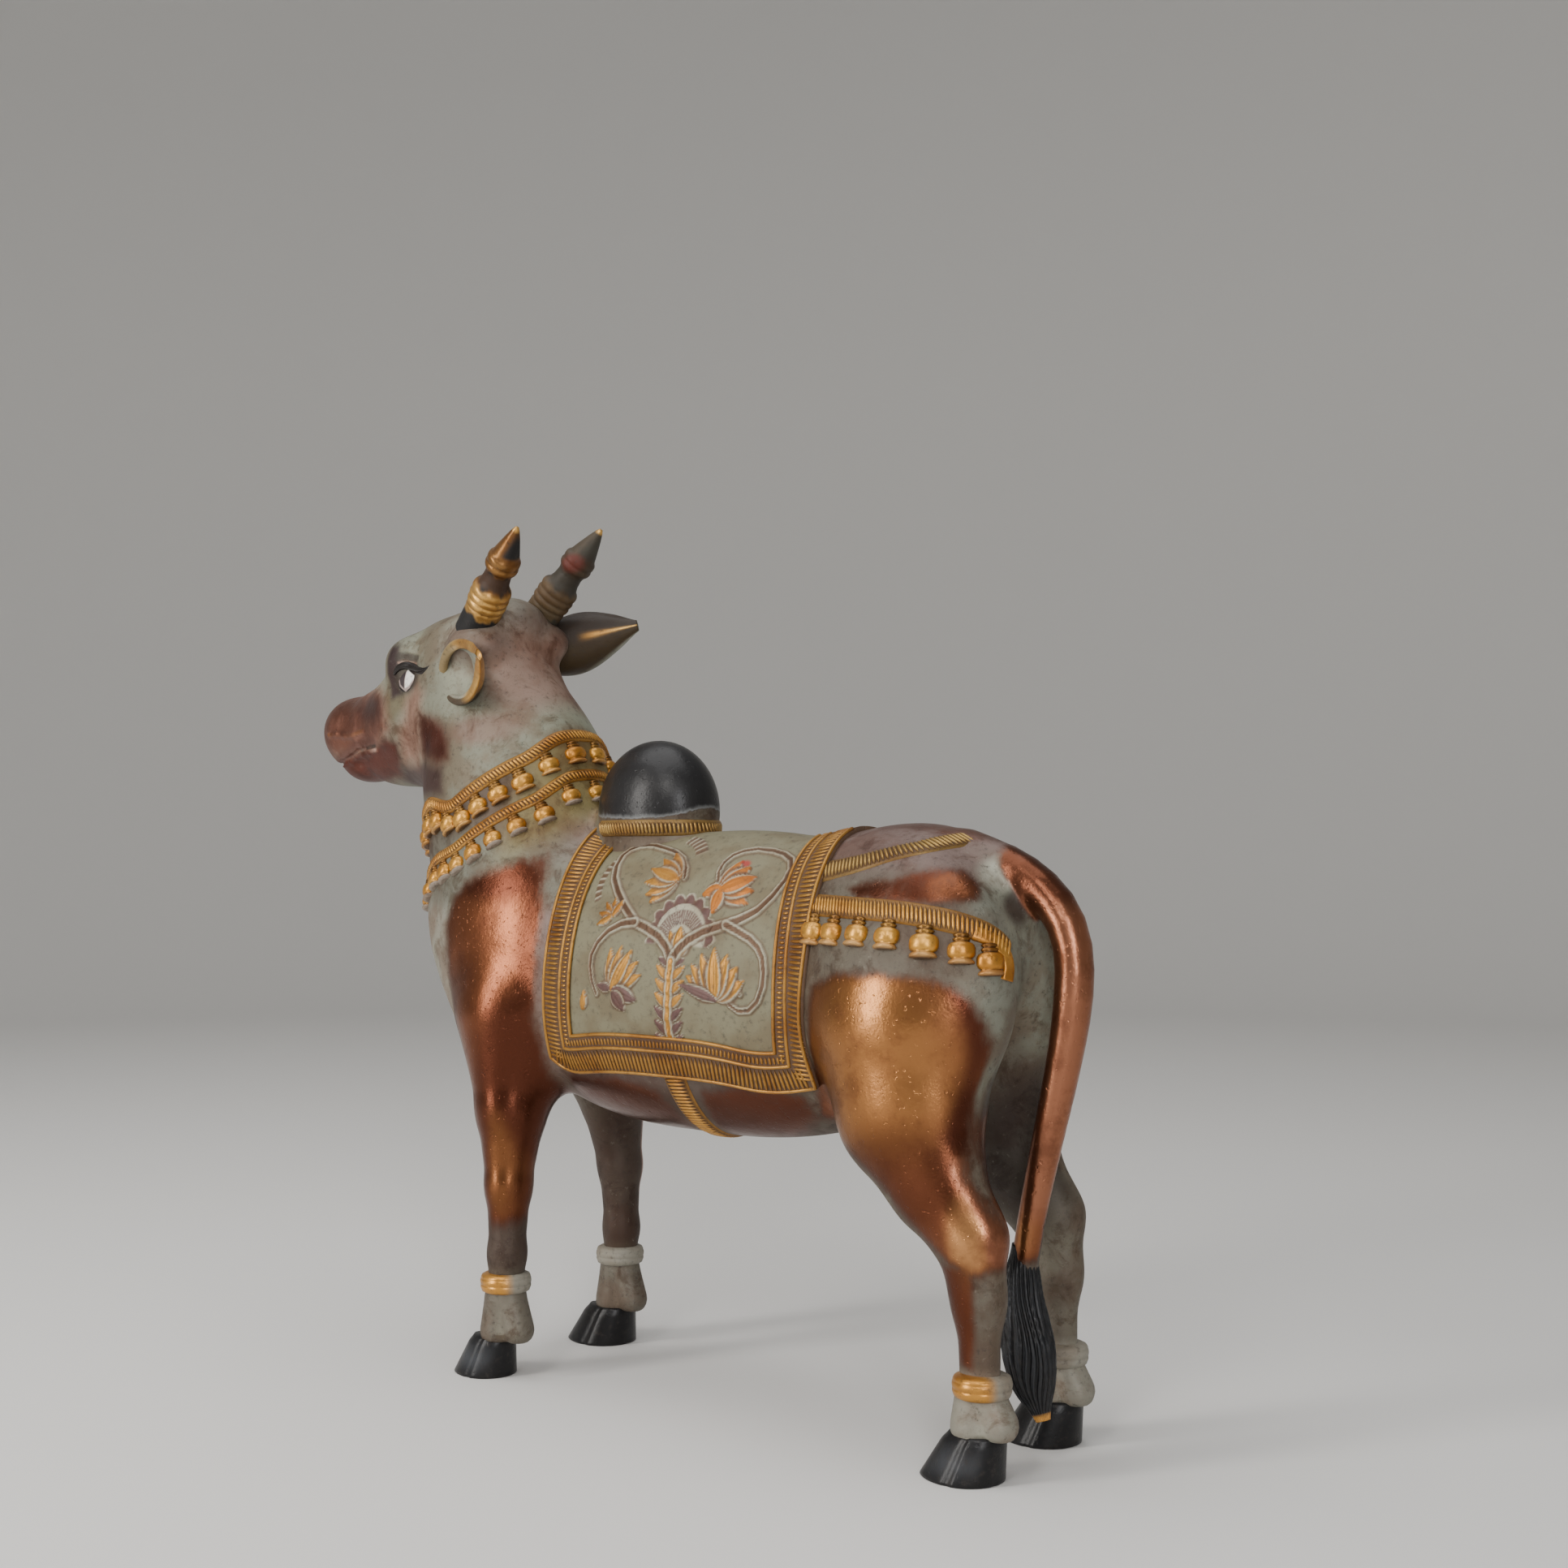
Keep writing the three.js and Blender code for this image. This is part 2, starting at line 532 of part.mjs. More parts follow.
// Ridge or band along skin points: profile lists pairs of the way across and the height over the skin
function band(field, route, profile, sink, loop = false) {
  const sections = route.map((p, i) => {
    const last = route.length - 1;
    const before = route[loop ? (i + last) % (last + 1) : Math.max(i - 1, 0)];
    const after = route[loop ? (i + 1) % (last + 1) : Math.min(i + 1, last)];
    const along = new THREE.Vector3().subVectors(after, before).normalize();
    const up = outward(field, p);
    const across = new THREE.Vector3().crossVectors(along, up).normalize();
    const feet = profile.map(([w]) => settle(field, p.clone().addScaledVector(across, w)));
    const normals = feet.map((foot) => outward(field, foot));
    const top = feet.map((foot, j) => foot.clone().addScaledVector(normals[j], profile[j][1]));
    const bottom = feet.map((foot, j) => foot.clone().addScaledVector(normals[j], -sink));
    return [...top, ...bottom.reverse()];
  });
  return loft(sections, loop);
}

function flatProfile(width, lift) {
  return [[-width / 2, lift], [width / 2, lift]];
}

// Evenly spaced points on a smooth route
function stations(route, count) {
  return new THREE.CatmullRomCurve3(route).getSpacedPoints(count - 1);
}

// Skin point of the trunk at x, a way down from the spine over the side given by its sign
const girths = new Map();
function girth(x) {
  const key = x.toFixed(3);
  if (!girths.has(key)) {
    const axis = new THREE.Vector3(x, 0, GIRTH_AXIS_Z);
    const points = [...Array(91).keys()].map((i) => {
      const angle = i / 90 * Math.PI;
      return cast(trunk, axis, new THREE.Vector3(0, Math.sin(angle), Math.cos(angle)), 110);
    });
    const ways = [0];
    for (let i = 1; i < points.length; i += 1) ways.push(ways[i - 1] + points[i].distanceTo(points[i - 1]));
    girths.set(key, { points, ways });
  }
  return girths.get(key);
}

function onTrunk(x, way, lift) {
  const { points, ways } = girth(x);
  const far = Math.abs(way);
  const i = Math.min(Math.max(ways.findIndex((w) => w > far), 1), points.length - 1);
  const t = (far - ways[i - 1]) / (ways[i] - ways[i - 1]);
  const p = points[i - 1].clone().lerp(points[i], t);
  p.y *= Math.sign(way) || 1;
  return p.addScaledVector(outward(trunk, p), lift);
}

// The front and back edges of the cloth bow a little to the rear half way down
function clothBow(way) {
  return CLOTH.bow * Math.sin(Math.PI * Math.min(Math.abs(way) / CLOTH.drop, 1));
}

// Part of the cloth as a slab, between two edges across and two ways down
function clothSlab([x0, x1], [way0, way1], columns, rows, lift, sink) {
  const sections = [...Array(rows).keys()].map((r) => {
    const way = way0 + (way1 - way0) * r / (rows - 1);
    const xs = [...Array(columns).keys()].map((c) => x0 + (x1 - x0) * c / (columns - 1) + clothBow(way));
    return [...xs.map((x) => onTrunk(x, way, lift)), ...xs.reverse().map((x) => onTrunk(x, way, -sink))];
  });
  return loft(sections);
}

// Wide and narrow rims: the ones along the bottom run in under those down the sides, a little lower
function clothBorders(side) {
  const { wide, gap, narrow, lift, sink, overlap, step } = BORDER;
  const { front, back, drop } = CLOTH;
  const inner = wide + gap;
  const rim = (xs, ways, columns, rows, low) => clothSlab(xs, ways.map((way) => way * side), columns, rows,
    lift - low, sink);
  return [
    rim([front, front + wide], [12, drop], 2, 8, 0),
    rim([back - wide, back], [12, drop], 2, 8, 0),
    rim([front + overlap, back - overlap], [drop - wide, drop - 0.4], 7, 2, step),
    rim([front + inner, front + inner + narrow], [16, drop - inner], 2, 7, 2 * step),
    rim([front + inner + overlap, back - inner], [drop - inner - narrow, drop - inner - 0.3], 7, 2,
      3 * step),
  ];
}

// A raised line on the cloth through points given by x and way down
function clothRidge(points, side) {
  const route = points.map(([x, way]) => onTrunk(x, way * side, 0));
  const profile = [[-RIDGE.width / 2, 1], [0, RIDGE.lift], [RIDGE.width / 2, 1]];
  return band(trunk, route, profile, 1);
}

// A pointed petal or leaf with a crest, from its base along an aim in degrees, 0 to the rear, 90 up
function petal([x, way], aim, side, { length, width, crest }) {
  const a = THREE.MathUtils.degToRad(aim);
  const at = (along, across, lift) => onTrunk(x + along * Math.cos(a) - across * Math.sin(a),
    side * (way - along * Math.sin(a) - across * Math.cos(a)), lift);
  const rim = [at(PETAL.space, 0, 1), at(length * 0.55, width / 2, 1), at(length, 0, 1),
    at(length * 0.55, -width / 2, 1)];
  const points = [...rim, at(length * 0.5, 0, crest), at(length * 0.5, 0, -0.5)].map((p) => p.toArray());
  const faces = [0, 1, 2, 3].flatMap((i) => [[i, (i + 1) % 4, 4], [(i + 1) % 4, i, 5]]);
  return solid({ points, faces });
}

function scrollPoints({ start, middle: [mx, mw], radius, from, turn }) {
  const steps = Math.ceil(Math.abs(turn) / 26);
  const arc = [...Array(steps + 1).keys()].map((i) => {
    const a = THREE.MathUtils.degToRad(from + turn * i / steps);
    const r = radius * (1 - 0.12 * i / steps);
    return [mx + r * Math.cos(a), mw + r * Math.sin(a)];
  });
  return [start, ...arc];
}

function clothMotif(side) {
  const pieces = [clothRidge(STEM, side)];
  for (const scroll of SCROLLS) pieces.push(clothRidge(scrollPoints(scroll), side));
  for (const { base, aim, petals, length } of FLOWERS) {
    for (let i = 0; i < petals; i += 1) {
      const off = (i - (petals - 1) / 2) * PETAL.fan;
      pieces.push(petal(base, aim + off, side, { ...PETAL, length: length * (1 - Math.abs(off) / 300) }));
    }
  }
  for (let i = 0; i < PALMETTE.petals; i += 1) {
    const aim = 90 + PALMETTE.spread * (i / (PALMETTE.petals - 1) - 0.5);
    pieces.push(petal(PALMETTE.base, aim, side, PALMETTE));
  }
  for (let i = 0; i < STEM_LEAF.count; i += 1) {
    const way = STEM_LEAF.first + STEM_LEAF.pitch * i;
    for (const aim of STEM_LEAF.aims) pieces.push(petal([STEM_LEAF.x, way], aim, side, STEM_LEAF));
  }
  return pieces;
}

// A bell that hangs on the skin, half sunk: its outline lists the share of its drop and of its width
function bell(field, top, down, { drop, width, outline, sides }) {
  const n = outward(field, top);
  const along = down.clone().addScaledVector(n, -down.dot(n)).normalize();
  const sections = outline.map(([share, half]) => {
    const foot = settle(field, top.clone().addScaledVector(along, share * drop));
    return ring(foot.addScaledVector(n, -BELL_SINK * width), along, half * width, sides);
  });
  return loft(sections);
}

// Point of the neck's skin at a level of the collar's slanted planes, at a turn from the nape
function onNeck(level, turn) {
  const up = new THREE.Vector3(-Math.sin(COLLAR_TILT), 0, Math.cos(COLLAR_TILT));
  const back = new THREE.Vector3(Math.cos(COLLAR_TILT), 0, Math.sin(COLLAR_TILT));
  const degrees = Math.abs(THREE.MathUtils.radToDeg(Math.atan2(Math.sin(turn), Math.cos(turn))));
  const { low: lift, high: rise, levels } = COLLAR_THROAT_LIFT;
  const throat = lift + (rise - lift) * THREE.MathUtils.smoothstep(level, ...levels);
  const height = level + throat * THREE.MathUtils.smoothstep(degrees, 85, 125)
    + COLLAR_NAPE_LIFT * (1 - THREE.MathUtils.smoothstep(degrees, 10, 34));
  const low = new THREE.Vector3(...NECK.route[0]);
  const high = new THREE.Vector3(...NECK.route[2]);
  const share = (height - low.dot(up)) / (high.dot(up) - low.dot(up));
  const axis = low.lerp(high, share);
  const direction = back.multiplyScalar(Math.cos(turn)).add(new THREE.Vector3(0, Math.sin(turn), 0));
  return cast(trunk, axis, direction, 120);
}

function collars() {
  const pieces = [];
  for (const { level, width } of ROPE_BANDS) {
    const turns = [...Array(BAND_STATIONS).keys()].map((i) => i / BAND_STATIONS * 2 * Math.PI);
    const route = turns.map((turn) => onNeck(level, turn));
    pieces.push(band(trunk, route, flatProfile(width, BAND_LIFT), BAND_SINK, true));
  }
  const down = new THREE.Vector3(Math.sin(COLLAR_TILT), 0, -Math.cos(COLLAR_TILT));
  BELL_ROWS.forEach((size, row) => {
    for (let i = 0; i < COLLAR_BELLS; i += 1) {
      const turn = (i + 0.5 * row + 0.5) / COLLAR_BELLS * 2 * Math.PI;
      pieces.push(bell(trunk, onNeck(size.level + size.drop / 2, turn), down, size));
    }
  });
  return pieces;
}

function humpBand() {
  const { middle, half, width, lift, stations: count } = HUMP_BAND;
  const base = (x, y, z) => meld(trunk(x, y, z), form.HUMP(x, y, z), 8);
  const route = [...Array(count).keys()].map((i) => {
    const a = i / count * 2 * Math.PI;
    const [x, y] = [middle[0] + half[0] * Math.cos(a), middle[1] + half[1] * Math.sin(a)];
    return cast(base, new THREE.Vector3(x, y, 200), new THREE.Vector3(0, 0, 1), 150);
  });
  return band(base, route, flatProfile(width, lift), BAND_SINK, true);
}

function bellyGirth() {
  const { x, width, lift, stations: count } = GIRTH;
  const axis = new THREE.Vector3(x, 0, GIRTH_AXIS_Z);
  const route = [...Array(count).keys()].map((i) => {
    const a = (0.72 + 0.56 * i / (count - 1)) * Math.PI;
    return cast(trunk, axis, new THREE.Vector3(0, Math.sin(a), Math.cos(a)), 110);
  });
  return band(trunk, route, flatProfile(width, lift), BAND_SINK);
}

function rumpStraps(side) {
  const haunches = (x, y, z) => meld(trunk(x, y, z), legs(x, y, z)[1], 14);
  const pieces = [UPPER_STRAP, LOWER_STRAP].map(({ route, width, stations: count }) => {
    const points = stations(route.map((p) => vector(p, side)), count).map((p) => settle(haunches, p));
    return band(haunches, points, flatProfile(width, BAND_LIFT), BAND_SINK);
  });
  const curve = new THREE.CatmullRomCurve3(LOWER_STRAP.route.map((p) => vector(p, side)));
  const strap = curve.getSpacedPoints(80);
  for (const x of RUMP_BELLS.x) {
    const over = strap.reduce((best, p) => (Math.abs(p.x - x) < Math.abs(best.x - x) ? p : best));
    const top = settle(haunches, over.clone().add(new THREE.Vector3(0, 0, -RUMP_BELLS.below)));
    pieces.push(bell(haunches, top, new THREE.Vector3(0, 0, -1), RUMP_BELLS));
  }
  return pieces;
}

function horn(side) {
  const from = vector(HORN.from, side);
  const to = vector(HORN.to, side);
  const direction = new THREE.Vector3().subVectors(to, from).normalize();
  const sections = HORN_OUTLINE.map(([share, radius]) => ring(
    from.clone().lerp(to, share), direction, radius, HORN.sides).map(roll));
  return loft(sections);
}

// Each ear is a bent leaf; the right one is set higher and further back, and the left one lower
function ear(side) {
  const cant = vector(EAR.cant).multiplyScalar(side);
  const root = vector(EAR.root, side).add(cant);
  const tip = vector(EAR.tip, side).add(cant);
  const along = new THREE.Vector3().subVectors(tip, root).normalize();
  const open = vector(EAR.open, side);
  open.addScaledVector(along, -open.dot(along)).normalize();
  const up = new THREE.Vector3().crossVectors(along, open);
  const sections = [...Array(EAR.rows).keys()].map((r) => {
    const t = r / (EAR.rows - 1);
    const leaf = Math.sin(Math.PI * (0.2 + 0.78 * t) ** 0.85);
    const curl = THREE.MathUtils.degToRad(EAR.curl[0] + (EAR.curl[1] - EAR.curl[0]) * t ** 0.8);
    const faces = [0, EAR.wall].map((depth) => [...Array(EAR.columns).keys()].map((c) => {
      const a = curl * (2 * c / (EAR.columns - 1) - 1);
      return root.clone().lerp(tip, t)
        .addScaledVector(up, (EAR.height * leaf + depth) * Math.sin(a))
        .addScaledVector(open, -(EAR.cup * leaf + depth) * Math.cos(a));
    }));
    return [...faces[0], ...faces[1].reverse()].map(roll);
  });
  return loft(sections);
}

function eye(side) {
  const ball = new THREE.SphereGeometry(1, 8, 6);
  ball.scale(...EYE.half);
  ball.translate(EYE.at[0], EYE.at[1] * side, EYE.at[2]);
  const position = ball.attributes.position;
  for (let i = 0; i < position.count; i += 1) {
    const p = roll(new THREE.Vector3().fromBufferAttribute(position, i));
    position.setXYZ(i, p.x, p.y, p.z);
  }
  const lid = [...Array(10).keys()].map((i) => {
    const a = i / 10 * 2 * Math.PI;
    const p = new THREE.Vector3(EYE.at[0] + EYELID.length / 2 * Math.cos(a), (EYE.at[1] + 4) * side,
      EYE.at[2] + EYELID.height / 2 * Math.sin(a));
    return settle(head, roll(p));
  });
  return [toSolid(ball), band(head, lid, flatProfile(EYELID.width, EYELID.lift), 2, true)];
}

function mouthCut(side) {
  const route = stations(MOUTH.map((p) => vector(p, side)), 8).map((p) => settle(head, roll(p)));
  return band(head, route, [[-1.3, 2.5], [1.3, 2.5]], 2.2);
}

function nostrilCut(side) {
  const pit = new THREE.SphereGeometry(1, 8, 6);
  pit.scale(...NOSTRIL.half);
  pit.translate(NOSTRIL.at[0], NOSTRIL.at[1] * side, NOSTRIL.at[2]);
  return toSolid(pit);
}

// Hoof: a low block with a sloping toe, split in front by the cleft
function hoof([x, y], size) {
  const levels = [0, 5, HOOF.height - 5, HOOF.height];
  const sections = levels.map((z) => {
    const t = z / HOOF.height;
    const shrink = HOOF.narrowing * t + (z === HOOF.height ? 2 : 0);
    return [...Array(HOOF.sides).keys()].map((i) => {
      const a = (i + 0.5) / HOOF.sides * 2 * Math.PI;
      const toe = Math.cos(a) < 0;
      const dent = i === HOOF.sides / 2 || i === HOOF.sides / 2 - 1 ? HOOF.cleft * 0.4 : 0;
      const reach = (toe ? HOOF.toe - shrink : HOOF.heel - shrink * 0.7) - dent;
      return new THREE.Vector3(x + size * (HOOF.lean * t + reach * Math.cos(a)),
        y + size * (HOOF.half - shrink * 0.8) * Math.sin(a), z);
    });
  });
  return loft(sections);
}

function cleftCut([x, y], size) {
  const top = HOOF.height - 4;
  const toe = x - size * HOOF.toe;
  const sections = [[toe - 4, 2.2], [toe + HOOF.cleft + 5, 0.5]].map(([depth, half]) => {
    const outline = [[-half, -2], [half, -2], [half, top], [-half, top]];
    return outline.map(([w, z]) => new THREE.Vector3(depth, y + w, z));
  });
  return loft(sections);
}

function anklet({ at, radius, height }, [sx, sy], side) {
  const middle = new THREE.Vector3(at[0] - sx, (at[1] - sy) * side, at[2]);
  const up = new THREE.Vector3(0, 0, 1);
  const outline = [[-0.5, 0.7], [-0.36, 0.94], [0.36, 1], [0.5, 0.72]];
  return loft(outline.map(([share, r]) => ring(
    middle.clone().addScaledVector(up, share * height), up, r * radius, 12)));
}

function feet(side) {
  const shifts = side > 0 ? [FAR_FORELEG_SHIFT, FAR_HINDLEG_SHIFT] : [[0, 0], [0, 0]];
  const blocks = [FORE_HOOF, HIND_HOOF].map(({ at, far, sizes }) => {
    const [x, y] = side > 0 ? far : at;
    const size = sizes[side > 0 ? 1 : 0];
    return hoof([x, y * side], size).subtract(cleftCut([x, y * side], size));
  });
  return [...blocks, ...[FORE_ANKLET, HIND_ANKLET].map((size, i) => anklet(size, shifts[i], side))];
}

function tuft() {
  const { route, radii, locks, groove } = TUFT;
  const points = route.map((p) => vector(p));
  return loft(points.map((p, i) => {
    const before = points[Math.max(i - 1, 0)];
    const after = points[Math.min(i + 1, points.length - 1)];
    const along = new THREE.Vector3().subVectors(after, before).normalize();
    return ring(p, along, radii[i], locks * 2, (k) => (k % 2 ? 1 - groove : 1 + groove / 3));
  }));
}

function bull() {
  let body = solid(thin(skin(flesh, FLESH_BOX, FLESH_STEP), FLESH_TRIANGLES));
  const drop = CLOTH.drop;
  const raised = [
    clothSlab([CLOTH.front, CLOTH.back], [-drop, drop], CLOTH.columns, CLOTH.rows, CLOTH.lift, BAND_SINK),
    humpBand(), bellyGirth(), tuft(), ...collars(),
  ];
  for (const side of [-1, 1]) {
    for (const cut of [mouthCut(side), nostrilCut(side)]) body = body.subtract(cut);
    raised.push(...clothBorders(side), ...clothMotif(side), ...rumpStraps(side), horn(side), ear(side),
      ...eye(side), ...feet(side));
  }
  for (const piece of raised) body = body.add(piece);
  const { vertProperties, triVerts } = body.getMesh();
  const triples = (list) => [...Array(list.length / 3).keys()].map((i) => [...list.slice(3 * i, 3 * i + 3)]);
  return thin({ points: triples(vertProperties), faces: triples(triVerts) }, STATUE_TRIANGLES);
}

function toGeometry({ points, faces }) {
  const geometry = new THREE.BufferGeometry();
  geometry.setAttribute('position', new THREE.Float32BufferAttribute(points.flat(), 3));
  geometry.setIndex(faces.flat());
  geometry.translate(-BOX_MIDDLE.x, -BOX_MIDDLE.y, 0);
  geometry.computeVertexNormals();
  return geometry;
}

const brass = new THREE.MeshStandardMaterial({ color: 0x8c6a4c, roughness: 0.42, metalness: 0.85 });
const nandi = new THREE.Mesh(toGeometry(bull()), brass);
nandi.name = 'nandi_bull';

const statue = new THREE.Group();
statue.add(nandi);

export default statue;
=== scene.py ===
"""A standing Nandi, the humped bull of South Asian temples, hollow cast in brass and finished by hand.

Lengths are millimetres in each section, measured from the middle of the four hooves: +X runs from muzzle
to tail, -Y is the bull's left side and +Z is up. Every mesh is turned into metres round the middle of the
bull's box.
"""
import math

import bpy
import numpy as np
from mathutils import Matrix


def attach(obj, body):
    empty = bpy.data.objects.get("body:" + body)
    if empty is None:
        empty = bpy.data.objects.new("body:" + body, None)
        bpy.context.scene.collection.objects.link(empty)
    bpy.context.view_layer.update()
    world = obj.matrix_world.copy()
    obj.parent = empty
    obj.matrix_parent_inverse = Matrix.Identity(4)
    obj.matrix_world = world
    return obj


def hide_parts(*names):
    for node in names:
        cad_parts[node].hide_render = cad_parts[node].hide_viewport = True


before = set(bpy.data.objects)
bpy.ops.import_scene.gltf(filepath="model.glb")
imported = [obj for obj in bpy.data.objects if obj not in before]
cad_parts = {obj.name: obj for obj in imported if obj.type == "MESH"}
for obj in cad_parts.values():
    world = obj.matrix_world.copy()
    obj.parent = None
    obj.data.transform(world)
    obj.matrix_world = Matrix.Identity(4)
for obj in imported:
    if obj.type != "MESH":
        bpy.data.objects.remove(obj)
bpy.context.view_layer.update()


# The bull's flesh: trunk, hump, legs and tail of one hollow brass casting, copper brown where it was
# rubbed bright and grey green in the hollows. It is a smooth union of rounded masses, as wax is built up.
BOX_MIDDLE = np.array([-71.7, -0.8, 0.0])
BARREL = (-8, 0, 209), (150, 52, 76)
FORE_BARREL = (-75, 0, 208), (95, 50, 68)
CHEST = (-154, 0, 230), (57, 46, 68)
RUMP = (100, 0, 238), (64, 44, 51)
HAUNCH = (116, 27, 218), (53, 27, 54)
SHOULDER = (-141, 28, 210), (45, 26, 66)
HUMP = (-68, 0, 297), (36, 26, 37)
NECK_ROUTE = (-163, 0, 248), (-176, 0, 310), (-193, 0, 350)
NECK_RADII = 61, 52, 45
NECK_FLATNESS = 0.78
FORELEG_ROUTE = (-140, 34, 190), (-135, 42, 140), (-133, 46, 100), (-133, 47, 65), (-134, 47, 42)
FORELEG_RADII = 30, 18, 11.5, 9.2, 9.5
FORE_PASTERN = ((-136.5, 47, 44), (-138, 47, 24)), (9, 10.8)
FORE_DEWCLAW = ((-130.5, 47, 44), (-124.5, 47, 26)), (8, 8.4)
HINDLEG_ROUTE = ((113, 30, 197), (118, 33, 160), (135, 36, 128), (154, 37, 106), (158, 37, 80),
                 (159, 37, 42))
HINDLEG_RADII = 45, 34, 21, 15, 10.5, 9.5
HINDLEG_FLATNESS = 0.75
HIND_PASTERN = ((157, 37, 38), (156.5, 37, 24)), (9.4, 11.2)
HIND_DEWCLAW = ((162, 37, 38), (169, 37, 26)), (8.4, 8.6)
SOLE_OF_PASTERNS = 19
FAR_FORELEG_SHIFT = np.array([6.0, 2.0, 0.0])
FAR_HINDLEG_SHIFT = np.array([5.0, 2.0, 0.0])
TAIL_ROUTE = ((128, 0, 274), (150, 0, 268.5), (168, 0, 258), (179, 0, 245), (184, 0, 228), (183, 0, 205),
              (178, 0, 178), (170, 0, 145), (163, 0, 115), (158, 0, 88))
TAIL_RADII = 10, 9.5, 9, 8.8, 8.8, 8, 7.4, 6.8, 6.3, 6.3
TAIL_STATIONS = 22
TAIL_MELD = 0.2
SHOULDER_PATCH = ((-172, 236), (-163, 254), (-142, 266), (-124, 273), (-112, 273), (-105, 246),
                  (-105, 217), (-108, 192), (-107, 171), (-108, 143), (-112, 110), (-114, 86), (-128, 82),
                  (-150, 88), (-153, 112), (-158, 144), (-164, 182), (-173, 210))
HAUNCH_PATCH = ((78, 214), (96, 220), (120, 222), (139, 221), (152, 217), (160, 210), (163, 200),
                (163, 186), (160, 172), (157, 160), (157, 146), (158, 134), (163, 126), (172, 116),
                (178, 104), (174, 94), (160, 90), (140, 102), (120, 122), (98, 140), (60, 150), (66, 169),
                (75, 197))
SHIN_PATCH = (143, 94), (160, 96), (163, 88), (162, 68), (160, 50), (148, 50), (146, 70)
LEAF_PATCH = ((90, 259), (116, 264), (133, 269), (146, 269), (155, 262), (155, 253), (142, 252),
              (120, 252), (100, 254))
FRONT_BELLY_PATCH = ((-96, 160), (-58, 162), (-33, 157), (-28, 143), (-32, 128), (-55, 130), (-88, 138),
                     (-100, 150))
REAR_BELLY_PATCH = (-4, 159), (22, 163), (44, 163), (58, 160), (58, 148), (33, 136), (-2, 128), (-8, 140)
COPPER = (0.22, 0.078, 0.036, 1)
COPPER_DARK = (0.085, 0.026, 0.014, 1)
COPPER_GOLDEN = (0.34, 0.15, 0.05, 1)
# bright copper used only as a painted highlight on the hind shank
COPPER_PAINTED_HIGHLIGHT = (0.50, 0.24, 0.095, 1)
COPPER_ROSE = (0.31, 0.125, 0.068, 1)
PATINA_GREY = (0.100, 0.084, 0.064, 1)
PATINA_GREEN = (0.175, 0.18, 0.145, 1)
PATINA_PALE = (0.26, 0.245, 0.20, 1)
PATINA_MAUVE = (0.15, 0.105, 0.092, 1)
PATINA_BROWN = (0.062, 0.042, 0.031, 1)
PATINA_OLIVE = (0.15, 0.115, 0.05, 1)
PATINA_DARK = (0.042, 0.033, 0.027, 1)
HAUNCH_RIM = (156, 45, 214), (163, 42, 200), (163, 40, 184), (158, 42, 166), (152, 44, 150)
# route of a painted highlight along the ridge behind the hind shank
PAINTED_HIGHLIGHT_BEHIND_SHANK = (155, 46, 137), (161, 43, 127), (169, 42, 114), (171, 41, 100)
BODY_LOW = -232, -72, -6
BODY_HIGH = 206, 72, 350
BODY_STEP = 2.35


def meld(a, b, width):
    """Smooth union of two distances."""
    h = np.maximum(width - np.abs(a - b), 0) / width
    return np.minimum(a, b) - h * h * width / 4


def carve(a, tool, width):
    """Smooth cut of a tool out of a form."""
    return -meld(-a, tool, width)


def mass(p, middle, half):
    """Distance to a rounded mass with three half sizes."""
    q = (p - np.array(middle, float)) / np.array(half, float)
    k0 = np.sqrt((q * q).sum(-1))
    k1 = np.sqrt(((q / np.array(half, float)) ** 2).sum(-1))
    return k0 * (k0 - 1) / np.maximum(k1, 1e-6)


def taper(p, a, b, ra, rb, flatness):
    """Distance to a cone between two balls, flattened across."""
    squeeze = np.array([1, 1 / flatness, 1])
    ab = (np.array(b, float) - a) * squeeze
    length2 = ab @ ab
    rise = ra - rb
    side2 = length2 - rise * rise
    q = (p - np.array(a, float)) * squeeze
    along = q @ ab
    past = along - length2
    out2 = ((q * length2 - along[..., None] * ab) ** 2).sum(-1)
    k = math.copysign(1, rise) * rise * rise * out2
    wall = (np.sqrt(out2 * side2 / length2) + along * rise) / length2 - ra
    end = np.sqrt(out2 + past * past * length2) / length2 - rb
    start = np.sqrt(out2 + along * along * length2) / length2 - ra
    at_end = np.sign(past) * side2 * past * past * length2 > k
    at_start = np.sign(along) * side2 * along * along * length2 < k
    return np.where(at_end, end, np.where(at_start, start, wall)) * flatness


def eased(route, count):
    """Even points along a smooth line through a route."""
    route = np.array(route, float)
    ends = np.vstack([2 * route[0] - route[1], route, 2 * route[-1] - route[-2]])
    fine = []
    for a, b, c, d in zip(ends, ends[1:], ends[2:], ends[3:]):
        t = np.linspace(0, 1, 24, endpoint=False)[:, None]
        fine.append(0.5 * (2 * b + (c - a) * t + (2 * a - 5 * b + 4 * c - d) * t ** 2
                           + (3 * b - a - 3 * c + d) * t ** 3))
    fine = np.vstack(fine + [route[-1:]])
    gone = np.concatenate([[0], np.cumsum(np.linalg.norm(np.diff(fine, axis=0), axis=1))])
    even = np.linspace(0, gone[-1], count)
    return np.stack([np.interp(even, gone, fine[:, k]) for k in range(3)], -1)


def limb(p, route, radii, width, flatness=1.0):
    """Distance to a chain of tapers."""
    distance = None
    for a, b, ra, rb in zip(route, route[1:], radii, radii[1:]):
        bone = taper(p, a, b, ra, rb, flatness)
        distance = bone if distance is None else meld(distance, bone, width)
    return distance


def both_sides(p):
    return np.stack([p[..., 0], np.abs(p[..., 1]), p[..., 2]], -1)


tail_route = eased(TAIL_ROUTE, TAIL_STATIONS)
tail_radii = np.interp(np.linspace(0, 1, TAIL_STATIONS), np.linspace(0, 1, len(TAIL_RADII)), TAIL_RADII)


